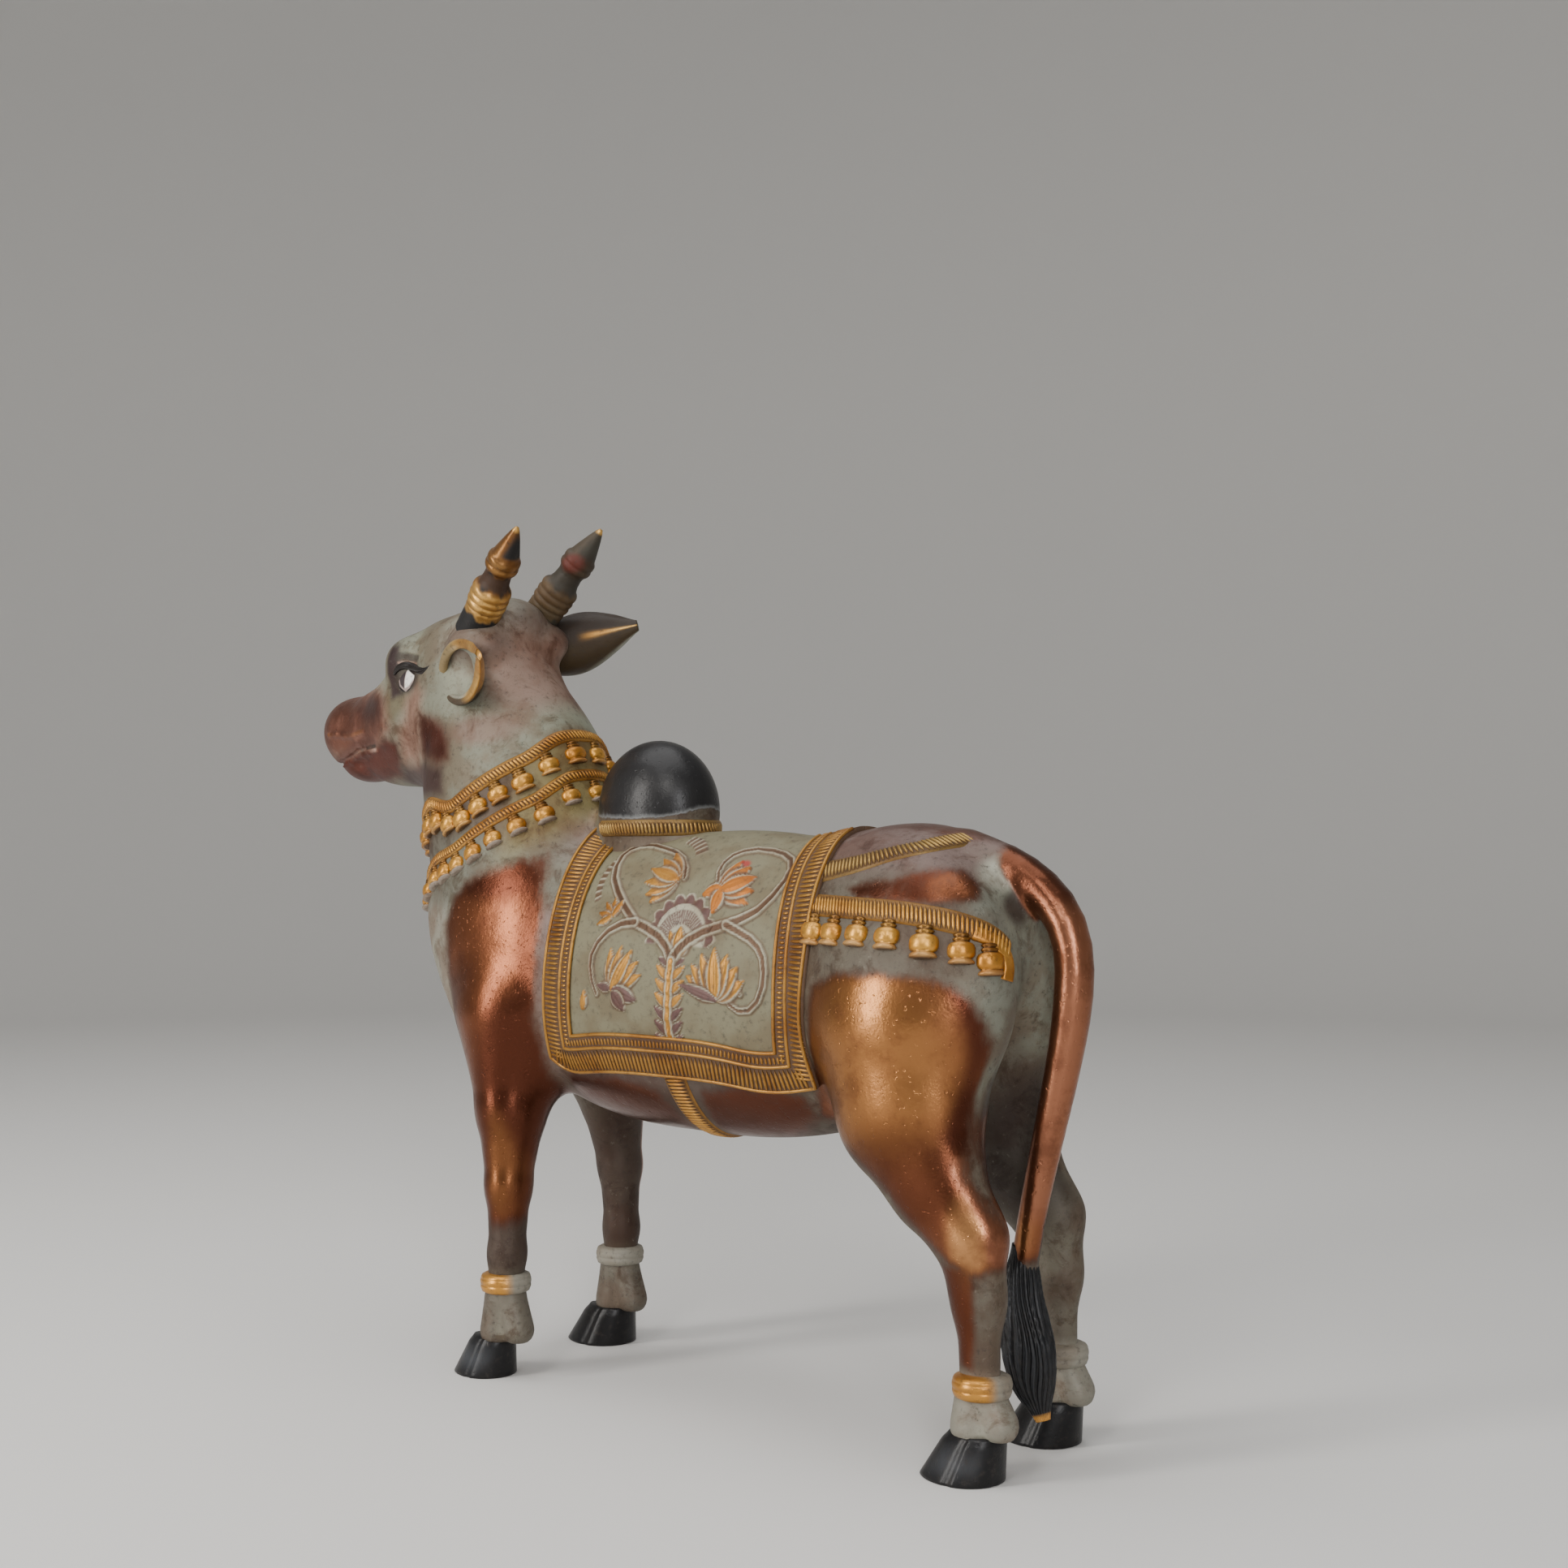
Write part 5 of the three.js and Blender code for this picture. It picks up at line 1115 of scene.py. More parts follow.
class ClothRelief:
    """Height and colour of the cloth's face, built up one motif after another."""

    def __init__(self, x, way):
        self.x, self.way = x, way
        self.height = np.zeros_like(x)
        self.layers = []
        self.gild = np.zeros_like(x)

    def lay(self, share, color, gild=0.0):
        """Covers the face with a colour and its gilding where the share is high."""
        share = np.clip(share, 0, 1)
        self.layers.append((share, color))
        self.gild = self.gild * (1 - share) + gild * share

    def scroll(self, route, half, grow):
        """A stalk: brown valley between two pale ridges, growing thinner to its end."""
        d, t = route_measure(self.x, self.way, route)
        half = half * (1 - (1 - grow) * t)
        ridge = np.exp(-((d - half * 0.82) / 0.62) ** 2) * 1.35
        core = soft(-d, -half, -half * 0.4)
        ditch = np.exp(-((d - half - 0.7) / 0.5) ** 2)
        self.height = np.maximum(self.height - 0.4 * ditch, np.maximum(ridge, core * 0.8))
        self.lay(ditch * 0.75, PLANT_BROWN)
        self.lay(soft(-d, -half - 0.4, -half + 0.2), OUTLINE_PALE)
        self.lay(soft(-d, -half * 0.72, -half * 0.5), PLANT_BROWN, 0.5)

    def petal(self, base, aim, length, width, color, gild, veins=0):
        """A pointed petal with a pale raised rim, a crowned face and a crease along its middle."""
        inside, t, off = petal_measure(self.x, self.way, base, aim, length, width)
        rim = soft(inside, -0.02, 0.12)
        crown = soft(inside, 0.1, 0.75)
        crease = np.exp(-(off / 0.45) ** 2) * soft(inside, 0.25, 0.5) * 0.35
        height = 1.15 * rim - 0.5 * soft(inside, 0.18, 0.34) + 0.95 * crown - crease
        if veins:
            height = height + 0.16 * np.cos(off * 2 * math.pi / veins) * crown
        cover = rim > 0
        self.height = np.where(cover, np.maximum(self.height * 0.35, height), self.height)
        shadow = soft(inside, -0.5, -0.12) * (t > -0.05) * (t < 1.08)
        self.lay(shadow * 0.8, PLANT_BROWN)
        self.lay(rim, OUTLINE_PALE)
        self.lay(soft(inside, 0.16, 0.34), color, gild)

    def flower(self, base, aims, length, width, color, gild, veins):
        """Petals of a lotus: the outer ones first, so that the middle one lies over them."""
        middle = sum(aims) / len(aims)
        for aim in sorted(aims, key=lambda value: -abs(value - middle)):
            reach = length * (1 - 0.18 * abs(aim - middle) / 60)
            self.petal(base, aim, reach, width, color, gild, veins)

    def shell(self, centre, inner, outer, lobes, color):
        """A half round leaf with a lobed edge, pale along the edge and round the hollow for its fan."""
        dx, dw = self.x - centre[0], centre[1] - self.way
        radius, angle = np.hypot(dx, dw), np.arctan2(dw, dx)
        lobe = np.abs(np.cos(angle * lobes / 2))
        edge = outer * (0.87 + 0.13 * lobe)
        upper = soft(dw, -5, -3.5)
        cover = soft(edge - radius, -0.3, 0.3) * upper
        leaf = soft(edge - radius, 0.7, 1.3) * soft(radius, inner + 0.2, inner + 0.9) * upper
        fold = 0.35 * (1 - lobe) * leaf
        self.height = np.where(cover > 0.5, 1.2 - 0.45 * leaf - fold, self.height)
        self.height = np.where(radius < inner, 0.45, self.height)
        self.lay(cover, OUTLINE_PALE)
        self.lay(leaf, color, 0.3)
        self.lay(fold * 1.6, PLANT_BROWN)

    def fan(self, centre, inner, outer, aims, pitch, color, height):
        """Short strokes set out from a centre, like the rays of a fan."""
        dx, dw = self.x - centre[0], -(self.way - centre[1])
        radius = np.hypot(dx, dw)
        angle = np.degrees(np.arctan2(dw, dx))
        band = soft(radius, inner, inner + 0.8) * soft(-radius, -outer, -outer + 0.8)
        swing = (angle - aims[0]) % 360
        span = aims[1] - aims[0]
        band = band * soft(swing, 0, 2) * soft(-swing, -span, -span + 2)
        wave = 0.5 + 0.5 * np.cos(swing / pitch * 2 * math.pi)
        self.height = self.height + band * wave * height
        self.lay(band * 0.9, color, 0.35)
        self.lay(band * soft(wave, 0.6, 0.95) * 0.8, OUTLINE_PALE)


def cloth_face(x, way):
    """The plant on each side of the cloth."""
    face = ClothRelief(x, way)
    for row, way_at in enumerate(np.arange(94, 128, 6.6)):
        for aim in (38, 142):
            color = PETAL_GOLD if row in (0, 1, 2) else PURPLE_BROWN
            face.petal((-14.6, way_at + 3), aim, 11.5, 5.2, color, 0.5)
    for aim in (22, 158):
        face.petal((-14.4, 90), aim, 9, 4.6, PURPLE_BROWN, 0.2)
    face.fan((-45, 46), 26.5, 31.5, (118, 205), 7.5, PLANT_BROWN, 0.5)
    face.fan((-36, 42), 20, 28, (28, 78), 9.5, PLANT_BROWN, 0.9)
    face.shell((-11, 76), 15.5, 22, 17, PURPLE_BROWN)
    face.fan((-11, 78), 7.5, 15.5, (0, 180), 6.6, PURPLE_BROWN, 0.8)
    face.flower((-11.2, 86), (62, 90, 118), 15, 8.5, PETAL_GOLD, 0.8, veins=1.7)
    face.scroll(LEFT_SCROLL, 2.9, 0.45)
    face.scroll(LOW_LEFT_SCROLL, 2.4, 0.4)
    face.scroll(RIGHT_SCROLL, 2.9, 0.45)
    face.scroll(LOW_RIGHT_SCROLL, 2.4, 0.4)
    face.scroll(STEM, 2.2, 1.0)
    d, _ = route_measure(x, way, STEM)
    face.lay(soft(-d, -1.6, -1.0), PETAL_GOLD, 0.8)
    face.flower((-21, 47), (122, 143, 164, 185, 206, 222), 23, 8.6, PETAL_GOLD, 0.6, veins=1.5)
    face.flower((7, 52), (-12, 8, 28, 48, 68), 22, 9.4, PETAL_ORANGE, 0.5, veins=1.6)
    face.petal((8, 50), 205, 12, 8, PETAL_ORANGE, 0.4)
    face.petal((8, 51), 262, 13, 8.5, PETAL_ORANGE, 0.4)
    face.lay(blob(np.stack([x, way], -1), (16, 35), (2.6, 1.9), 1.0) * 0.8, PETAL_RED, 0.1)
    for aim in (95, 130, 165, 200, 60):
        face.petal((-57.5, 67.5), aim, 10.5, 4.6, PETAL_GOLD, 0.7)
    face.flower((-52, 104), (24, 42, 60, 78, 96), 24, 7.8, PETAL_GOLD, 0.6, veins=1.4)
    face.petal((-51, 103), -18, 17, 8.5, PURPLE_BROWN, 0.3)
    face.petal((-51, 104), -48, 13, 8.5, PURPLE_BROWN, 0.3)
    face.petal((-52, 103), 168, 10, 5.5, PURPLE_BROWN, 0.1)
    face.flower((14, 104), (36, 56, 76, 96, 116, 136, 152), 25, 9.4, PETAL_GOLD, 0.7, veins=1.5)
    face.petal((16, 104), 168, 25, 6.4, PURPLE_BROWN, 0.3)
    face.petal((-71.5, 113), 86, 10, 5.5, PETAL_GOLD, 0.6)
    return face


def sided(x0, x1, way0, way1, step):
    """Even grid between two edges across and two ways down, in the cloth's own layout."""
    columns = round((x1 - x0) / step) + 1
    rows = round((way1 - way0) / step) + 1
    way, x = np.meshgrid(np.linspace(way0, way1, rows), np.linspace(x0, x1, columns), indexing="ij")
    return x, way


def slab(top, bottom):
    """Closed mesh between two grids of the same size."""
    rows, columns = top.shape[:2]
    count = rows * columns
    points = np.vstack([top.reshape(-1, 3), bottom.reshape(-1, 3)])
    upper = grid_faces(rows, columns)
    faces = upper + [tuple(v + count for v in reversed(face)) for face in upper]
    number = np.arange(count).reshape(rows, columns)
    rim = np.concatenate([number[0, :-1], number[:-1, -1], number[-1, :0:-1], number[:0:-1, 0]])
    for a, b in zip(rim, np.roll(rim, -1)):
        faces.append((int(b), int(a), int(a) + count, int(b) + count))
    return points, faces


for side, hand in ((-1, "left"), (1, "right")):
    x, way = sided(CLOTH_FRONT, CLOTH_BACK, 0, CLOTH_DROP, CLOTH_STEP)
    face = cloth_face(x, way)
    place = settle(draped, on_trunk(x + bow(way), way, side), 2)
    out = outward(draped, place)
    edge = np.minimum(np.minimum(x - CLOTH_FRONT, CLOTH_BACK - x), CLOTH_DROP - way)
    frame_zone = soft(-edge, -BORDER_WIDE - BORDER_NARROW - 1.5, -BORDER_WIDE - BORDER_NARROW - 0.7)
    height = CLOTH_LIFT + face.height * 0.95 * (1 - frame_zone) + BORDER_LIFT * frame_zone
    points, faces = slab(place + out * height[..., None], place - out * CLOTH_SINK)
    flat = [(share.ravel(), color) for share, color in face.layers]
    flat.append((frame_zone.ravel(), PLANT_BROWN))
    colors = np.tile(tinted(CLOTH_GROUND, *flat), (2, 1))
    gild = np.tile((face.gild * (1 - frame_zone) + 0.3 * frame_zone).ravel(), 2)
    cast_piece(f"saddle_cloth_{hand}", points, turned_out(points, faces), relief_finish,
               {"paint": colors, "gild": gild})


# The rims of the cloth: two rows of gilded strokes, long ones outside and short ones inside, between
# three plain beads. Each stroke is a rounded bar cast half sunk in the rim.
WIDE_STROKE = {"Pitch": 2.45, "Length": 12.2, "Width": 1.75, "Height": 0.85}
NARROW_STROKE = {"Pitch": 2.3, "Length": 4.2, "Width": 1.5, "Height": 0.7}
STROKE_SIDES = 6
STROKE_RINGS = 5
BEAD_RADIUS = 0.95
BEAD_SIDES = 8
BEAD_INSETS = 0.7, BORDER_WIDE + 0.6, BORDER_WIDE + BORDER_NARROW + 1.6
RIM_TOP = 10
GROOVE_BROWN = (0.062, 0.030, 0.013, 1)
RIM_GOLD = (0.40, 0.20, 0.042, 1)


def new_layout(name, numbers, colors):
    """A geometry nodes tree with named number and colour inputs; returns it with its ends."""
    tree = bpy.data.node_groups.new(name, "GeometryNodeTree")
    tree.interface.new_socket("Geometry", in_out="INPUT", socket_type="NodeSocketGeometry")
    for label in numbers:
        tree.interface.new_socket(label, in_out="INPUT", socket_type="NodeSocketFloat")
    for label in colors:
        tree.interface.new_socket(label, in_out="INPUT", socket_type="NodeSocketColor")
    tree.interface.new_socket("Finish", in_out="INPUT", socket_type="NodeSocketMaterial")
    tree.interface.new_socket("Geometry", in_out="OUTPUT", socket_type="NodeSocketGeometry")
    return tree, wire(tree, "NodeGroupInput").outputs, wire(tree, "NodeGroupOutput")


def carried(tree, name, kind):
    return wire(tree, "GeometryNodeInputNamedAttribute", {"Name": name}, data_type=kind).outputs["Attribute"]


def place_part(tree, axis):
    """One part of each point's place: 0, 1 or 2 for X, Y or Z."""
    place = wire(tree, "GeometryNodeInputPosition").outputs[0]
    return wire(tree, "ShaderNodeSeparateXYZ", {0: place}).outputs[axis]


def bulged(tree, line, radius, sides):
    """A closed bar of round section along a line, with the given radius on each of its points."""
    ring = wire(tree, "GeometryNodeCurvePrimitiveCircle", {"Resolution": sides, "Radius": 1.0}).outputs[0]
    return wire(tree, "GeometryNodeCurveToMesh", {"Curve": line, "Profile Curve": ring, "Scale": radius,
                                                  "Fill Caps": True}).outputs[0]


def coloured(tree, shape, share, low, high, gild):
    """Marks colour and gilding on a shape, from one colour to another by a share."""
    paint = wire(tree, "ShaderNodeMix", {0: share, 6: low, 7: high}, data_type="RGBA").outputs[2]
    for name, value, kind in (("paint", paint, "FLOAT_COLOR"), ("gild", gild, "FLOAT")):
        shape = wire(tree, "GeometryNodeStoreNamedAttribute",
                     {"Geometry": shape, "Name": name, "Value": value},
                     data_type=kind, domain="POINT").outputs[0]
    return shape


def finished(tree, out, places, shape, turn, finish, random_size):
    """Sets copies of a shape on places, and ends the tree as plain faces in one finish."""
    size = wire(tree, "FunctionNodeRandomValue",
                {2: 1.0 - random_size, 3: 1.0 + random_size, "Seed": 7}).outputs[1]
    copies = wire(tree, "GeometryNodeInstanceOnPoints",
                  {"Points": places, "Instance": shape, "Rotation": turn, "Scale": size}).outputs[0]
    plain = wire(tree, "GeometryNodeRealizeInstances", {"Geometry": copies}).outputs[0]
    plain = wire(tree, "GeometryNodeSetShadeSmooth", {"Geometry": plain}).outputs[0]
    done = wire(tree, "GeometryNodeSetMaterial", {"Geometry": plain, "Material": finish}).outputs[0]
    tree.links.new(done, out.inputs["Geometry"])


def build_laid_strokes():
    """Rounded strokes side by side along a route whose points carry their own way up."""
    tree, given, out = new_layout("laid_strokes", ("Pitch", "Length", "Width", "Height", "Slant"),
                                  ("Groove", "Crown"))
    curve = wire(tree, "GeometryNodeMeshToCurve", {"Mesh": given["Geometry"]}).outputs[0]
    curve = wire(tree, "GeometryNodeResampleCurve", {"Curve": curve, "Length": given["Pitch"]},
                 mode="LENGTH").outputs[0]
    places = wire(tree, "GeometryNodeCurveToPoints", {"Curve": curve}, mode="EVALUATED")
    up = carried(tree, "up", "FLOAT_VECTOR")
    half = sum_of(tree, given["Length"], 0.5, "MULTIPLY")
    end = wire(tree, "ShaderNodeCombineXYZ", {"X": half}).outputs[0]
    start = wire(tree, "ShaderNodeVectorMath", {0: end, "Scale": -1.0}, operation="SCALE").outputs[0]
    line = wire(tree, "GeometryNodeCurvePrimitiveLine", {"Start": start, "End": end}).outputs[0]
    line = wire(tree, "GeometryNodeResampleCurve", {"Curve": line, "Count": STROKE_RINGS}).outputs[0]
    t = wire(tree, "GeometryNodeSplineParameter").outputs["Factor"]
    off = sum_of(tree, sum_of(tree, t, 2.0, "MULTIPLY_ADD", -1.0), 4.0, "POWER")
    radius = sum_of(tree, sum_of(tree, 1.03, off, "SUBTRACT"), sum_of(tree, given["Width"], 0.5, "MULTIPLY"),
                    "MULTIPLY")
    bar = bulged(tree, line, radius, STROKE_SIDES)
    squash = sum_of(tree, given["Height"], sum_of(tree, given["Width"], 0.5, "MULTIPLY"), "DIVIDE")
    scale = wire(tree, "ShaderNodeCombineXYZ", {"X": 1.0, "Y": 1.0, "Z": squash}).outputs[0]
    bar = wire(tree, "GeometryNodeTransform", {"Geometry": bar, "Scale": scale}).outputs[0]
    rise = sum_of(tree, place_part(tree, 2), given["Height"], "DIVIDE")
    rise = wire(tree, "ShaderNodeMapRange", {0: rise, 1: -0.1, 2: 0.75}).outputs[0]
    bar = coloured(tree, bar, rise, given["Groove"], given["Crown"], rise)
    across = wire(tree, "ShaderNodeVectorMath", {0: places.outputs["Tangent"], 1: up},
                  operation="CROSS_PRODUCT").outputs[0]
    across = wire(tree, "ShaderNodeVectorRotate",
                  {"Vector": across, "Axis": up, "Angle": given["Slant"]}).outputs[0]
    turn = wire(tree, "FunctionNodeAxesToRotation", {0: up, 1: across}, primary_axis="Z", secondary_axis="X")
    finished(tree, out, places.outputs["Points"], bar, turn.outputs[0], given["Finish"], 0.06)
    return tree


def laid_out(name, tree, routes, ups, values, downs=None):
    """Runs a layout over routes of points in millimetres, and keeps its result as a plain cast piece."""
    points = np.vstack(routes)
    edges = []
    first = 0
    for route in routes:
        if downs is None:
            edges += [(first + i, first + i + 1) for i in range(len(route) - 1)]
        first += len(route)
    mesh = bpy.data.meshes.new(name)
    mesh.from_pydata(points.tolist(), edges, [])
    for label, values_there in (("up", ups), ("down", downs)):
        if values_there is not None:
            layer = mesh.attributes.new(label, "FLOAT_VECTOR", "POINT")
            layer.data.foreach_set("vector", np.vstack(values_there).astype(np.float32).ravel())
    raw = bpy.data.objects.new(name + "_layout", mesh)
    bpy.context.scene.collection.objects.link(raw)
    modifier = raw.modifiers.new(name, "NODES")
    modifier.node_group = tree
    for item in tree.interface.items_tree:
        if item.in_out == "INPUT" and item.name in values:
            modifier[item.identifier] = values[item.name]
    bpy.context.view_layer.update()
    graph = bpy.context.evaluated_depsgraph_get()
    made = bpy.data.meshes.new_from_object(raw.evaluated_get(graph), preserve_all_data_layers=True,
                                           depsgraph=graph)
    raw.modifiers.remove(modifier)
    bpy.data.objects.remove(raw)
    places = np.empty(len(made.vertices) * 3, np.float32)
    made.vertices.foreach_get("co", places)
    places = (places.reshape(-1, 3) - BOX_MIDDLE) / 1000
    made.vertices.foreach_set("co", places.astype(np.float32).ravel())
    made.update()
    piece = bpy.data.objects.new(name, made)
    bpy.context.scene.collection.objects.link(piece)
    return belongs(piece)


def numbers(sizes, slant=0.0, groove=GROOVE_BROWN, crown=RIM_GOLD):
    return {**sizes, "Slant": slant, "Groove": groove, "Crown": crown, "Finish": relief_finish}


def on_cloth(x, way, side, lift):
    """Points over the cloth at a lift, with their way up."""
    place = settle(draped, on_trunk(x + bow(way), way, side), 2)
    up = outward(draped, place)
    return place + up * lift, up


def rim_route(inset, side, lift, count=160):
    """A route round the cloth's rim at an inset: down the front, along the bottom, and up the back."""
    front, back, low = CLOTH_FRONT + inset, CLOTH_BACK - inset, CLOTH_DROP - inset
    corners = (front, RIM_TOP), (front, low), (back, low), (back, RIM_TOP)
    routes = []
    for (x0, w0), (x1, w1) in zip(corners, corners[1:]):
        t = np.linspace(0, 1, count)
        routes.append(on_cloth(x0 + t * (x1 - x0), w0 + t * (w1 - w0), side, lift))
    return routes


laid_strokes = build_laid_strokes()
base_lift = CLOTH_LIFT + BORDER_LIFT
for side, hand in ((-1, "left"), (1, "right")):
    for name, sizes, inset in (("wide", WIDE_STROKE, BORDER_WIDE / 2),
                               ("narrow", NARROW_STROKE, BORDER_WIDE + 0.9 + BORDER_NARROW / 2)):
        runs = rim_route(inset, side, base_lift)
        laid_out(f"cloth_{name}_strokes_{hand}", laid_strokes, [p for p, _ in runs], [u for _, u in runs],
                 numbers(sizes))
    beads = []
    for inset in BEAD_INSETS:
        points = np.vstack([p for p, _ in rim_route(inset, side, base_lift - 0.1)])
        keep = np.concatenate([[True], np.linalg.norm(np.diff(points, axis=0), axis=1) > 0.2])
        beads.append(tube(points[keep], [BEAD_RADIUS] * int(keep.sum()), BEAD_SIDES))
    points = np.vstack([p for p, _ in beads])
    counts = np.cumsum([0] + [len(p) for p, _ in beads])
    faces = [tuple(v + first for v in face) for (_, fs), first in zip(beads, counts) for face in fs]
    cast_piece(f"cloth_beads_{hand}", points, faces, relief_finish,
               {"paint": np.tile(RIM_GOLD, (len(points), 1)), "gild": np.full(len(points), 0.8)})


# The collars: two gilded rope bands cast slanting round the neck, each a low cushion with plain edges
# under a row of slanted strokes.
ROPE_BANDS = (349, 7.4), (326.5, 6.4)
ROPE_STROKE = {"Pitch": 2.15, "Width": 1.75, "Height": 1.0}
ROPE_SLANT = 0.42
BAND_BASE = 1.1
BAND_SINK = 3
BAND_STATIONS = 260
NECK_REACH = 120
ROPE_GROOVE = (0.075, 0.036, 0.013, 1)
ROPE_GOLD = (0.56, 0.28, 0.055, 1)


def flat_profile(width, lift):
    """Cushioned face of a band: places across it with their lifts."""
    places = np.linspace(-1, 1, 9)
    return [(place * width / 2, lift * (1 - 0.75 * place ** 6)) for place in places]


def laid_band(field, route, profile, closed=False):
    """A band laid along a route on the skin of a field: points, faces and the place across of each point."""
    route = settle(field, np.array(route, float))
    step = np.roll(route, -1, 0) - np.roll(route, 1, 0) if closed else np.gradient(route, axis=0)
    across = np.cross(outward(field, route), step)
    across /= np.linalg.norm(across, axis=1, keepdims=True)
    stack = []
    for place, lift in profile + [(profile[-1][0], -BAND_SINK), (profile[0][0], -BAND_SINK)]:
        foot = settle(field, route + across * place, 2)
        stack.append(foot + outward(field, foot) * lift)
    columns = len(stack)
    points = np.stack(stack, 1).reshape(-1, 3)
    faces = grid_faces(len(route), columns, True, closed)
    if not closed:
        faces += [tuple(range(columns))[::-1], tuple(range(len(points) - columns, len(points)))]
    places = np.tile([place for place, _ in profile] + [profile[-1][0], profile[0][0]], len(route))
    return points, turned_out(points, faces), places


def lifted(field, route, lift):
    """Points over a skin at a lift, and their way up."""
    route = settle(field, np.array(route, float))
    up = outward(field, route)
    return route + up * lift, up


def on_neck(level, turn):
    """Points of the neck's skin at a level of the collars' slant, at turns from the nape."""
    low, high = np.array(NECK_ROUTE[0], float), np.array(NECK_ROUTE[2], float)
    share = (level + collar_rise(level, turn) - low @ COLLAR_UP) / ((high - low) @ COLLAR_UP)
    axis = low + share[:, None] * (high - low)
    ray = COLLAR_BACK * np.cos(turn)[:, None] + np.array([0, 1, 0]) * np.sin(turn)[:, None]
    return cast_to(flesh, axis, ray, NECK_REACH)


def strapped(name, field, route, width, closed=False, slant=ROPE_SLANT, gold=ROPE_GOLD):
    """A strap with two plain edges and slanted strokes cut over it."""
    points, faces, places = laid_band(field, route, flat_profile(width, BAND_BASE), closed)
    line = np.exp(-((np.abs(places) - width / 2 + 0.5) / 0.6) ** 2)
    cast_piece(name, points, faces, relief_finish,
               {"paint": tinted(ROPE_GROOVE, (line, gold)), "gild": 0.35 + 0.4 * line})
    loop = np.vstack([route, route[:1]]) if closed else route
    middle, up = lifted(field, loop, BAND_BASE - 0.15)
    sizes = {**ROPE_STROKE, "Length": (width - 1.5) / math.cos(slant)}
    laid_out(name + "_strokes", laid_strokes, [middle], [up], numbers(sizes, slant, ROPE_GROOVE, gold))


around = np.arange(BAND_STATIONS) / BAND_STATIONS * 2 * math.pi
for (level, width), name in zip(ROPE_BANDS, ("upper", "lower")):
    strapped(f"{name}_collar", flesh, on_neck(level, around), width, True)


# The bells: little bulbs with a ringed cap, a waist and a flat lip, cast half sunk in the skin they
# hang over. Twenty-four hang from each collar; the lips of the lower row are worn to grey.
BELL_ROWS = (339.2, 12.4, 12.2, 0.25), (317.2, 12.0, 11.2, 1.0)
COLLAR_BELLS = 24
BELL_DEPTH = 0.72
BELL_RINGS = 22
BELL_SIDES = 14
BELL_OUTLINE = ((0, 0.3), (0.03, 0.55), (0.1, 0.6), (0.135, 0.46), (0.17, 0.62), (0.225, 0.66),
                (0.26, 0.5), (0.33, 0.8), (0.46, 0.98), (0.62, 1.0), (0.75, 0.9), (0.82, 0.7),
                (0.87, 0.9), (0.95, 0.94), (1, 0.55))
BELL_GOLD = (0.62, 0.31, 0.055, 1)
BELL_LIP = (0.26, 0.21, 0.165, 1)


def bell_outline(tree, share):
    outline = wire(tree, "ShaderNodeFloatCurve", {"Value": share})
    curve = outline.mapping.curves[0]
    curve.points[0].location, curve.points[1].location = BELL_OUTLINE[0], BELL_OUTLINE[-1]
    for place in BELL_OUTLINE[1:-1]:
        curve.points.new(*place)
    outline.mapping.update()
    return outline.outputs[0]


def build_hung_bells():
    """A bell on each point, hanging along its own way down and half sunk under its own way up."""
    tree, given, out = new_layout("hung_bells", ("Drop", "Width", "Depth", "Lip Share"), ("Body", "Lip"))
    line_end = wire(tree, "ShaderNodeCombineXYZ", {"X": given["Drop"]}).outputs[0]
    line = wire(tree, "GeometryNodeCurvePrimitiveLine", {"End": line_end}).outputs[0]
    line = wire(tree, "GeometryNodeResampleCurve", {"Curve": line, "Count": BELL_RINGS}).outputs[0]
    t = wire(tree, "GeometryNodeSplineParameter").outputs["Factor"]
    radius = sum_of(tree, bell_outline(tree, t), sum_of(tree, given["Width"], 0.5, "MULTIPLY"), "MULTIPLY")
    bell = bulged(tree, line, radius, BELL_SIDES)
    scale = wire(tree, "ShaderNodeCombineXYZ", {"X": 1.0, "Y": 1.0, "Z": given["Depth"]}).outputs[0]
    bell = wire(tree, "GeometryNodeTransform", {"Geometry": bell, "Scale": scale}).outputs[0]
    share = sum_of(tree, place_part(tree, 0), given["Drop"], "DIVIDE")
    lip = wire(tree, "ShaderNodeMapRange", {0: share, 1: 0.8, 2: 0.88}).outputs[0]
    lip = sum_of(tree, lip, given["Lip Share"], "MULTIPLY")
    gild = sum_of(tree, 1.0, sum_of(tree, lip, 0.85, "MULTIPLY"), "SUBTRACT")
    swell = wire(tree, "ShaderNodeMapRange", {0: bell_outline(tree, share), 1: 0.5, 2: 0.85}).outputs[0]
    body = blended(tree, swell, ROPE_GROOVE, given["Body"])
    bell = coloured(tree, bell, lip, body, given["Lip"], gild)
    turn = wire(tree, "FunctionNodeAxesToRotation", {0: carried(tree, "up", "FLOAT_VECTOR"),
                                                     1: carried(tree, "down", "FLOAT_VECTOR")},
                primary_axis="Z", secondary_axis="X")
    places = wire(tree, "GeometryNodeMeshToPoints", {"Mesh": given["Geometry"]}).outputs[0]
    finished(tree, out, places, bell, turn.outputs[0], given["Finish"], 0.05)
    return tree


def hang_bells(name, field, tops, down, drop, width, lip):
    """Bells with their tops on the skin of a field, hanging down along it; lip is how grey their lips are."""
    tops = settle(field, tops)
    up = outward(field, tops)
    low = settle(field, tops + np.array(down) * drop)
    fall = (low - tops) / np.linalg.norm(low - tops, axis=1, keepdims=True)
    rise = outward(field, (tops + low) / 2)
    values = {"Drop": drop, "Width": width, "Depth": BELL_DEPTH, "Lip Share": lip, "Body": BELL_GOLD,
              "Lip": BELL_LIP, "Finish": relief_finish}
    laid_out(name, hung_bells, [tops], [rise], values, [fall])


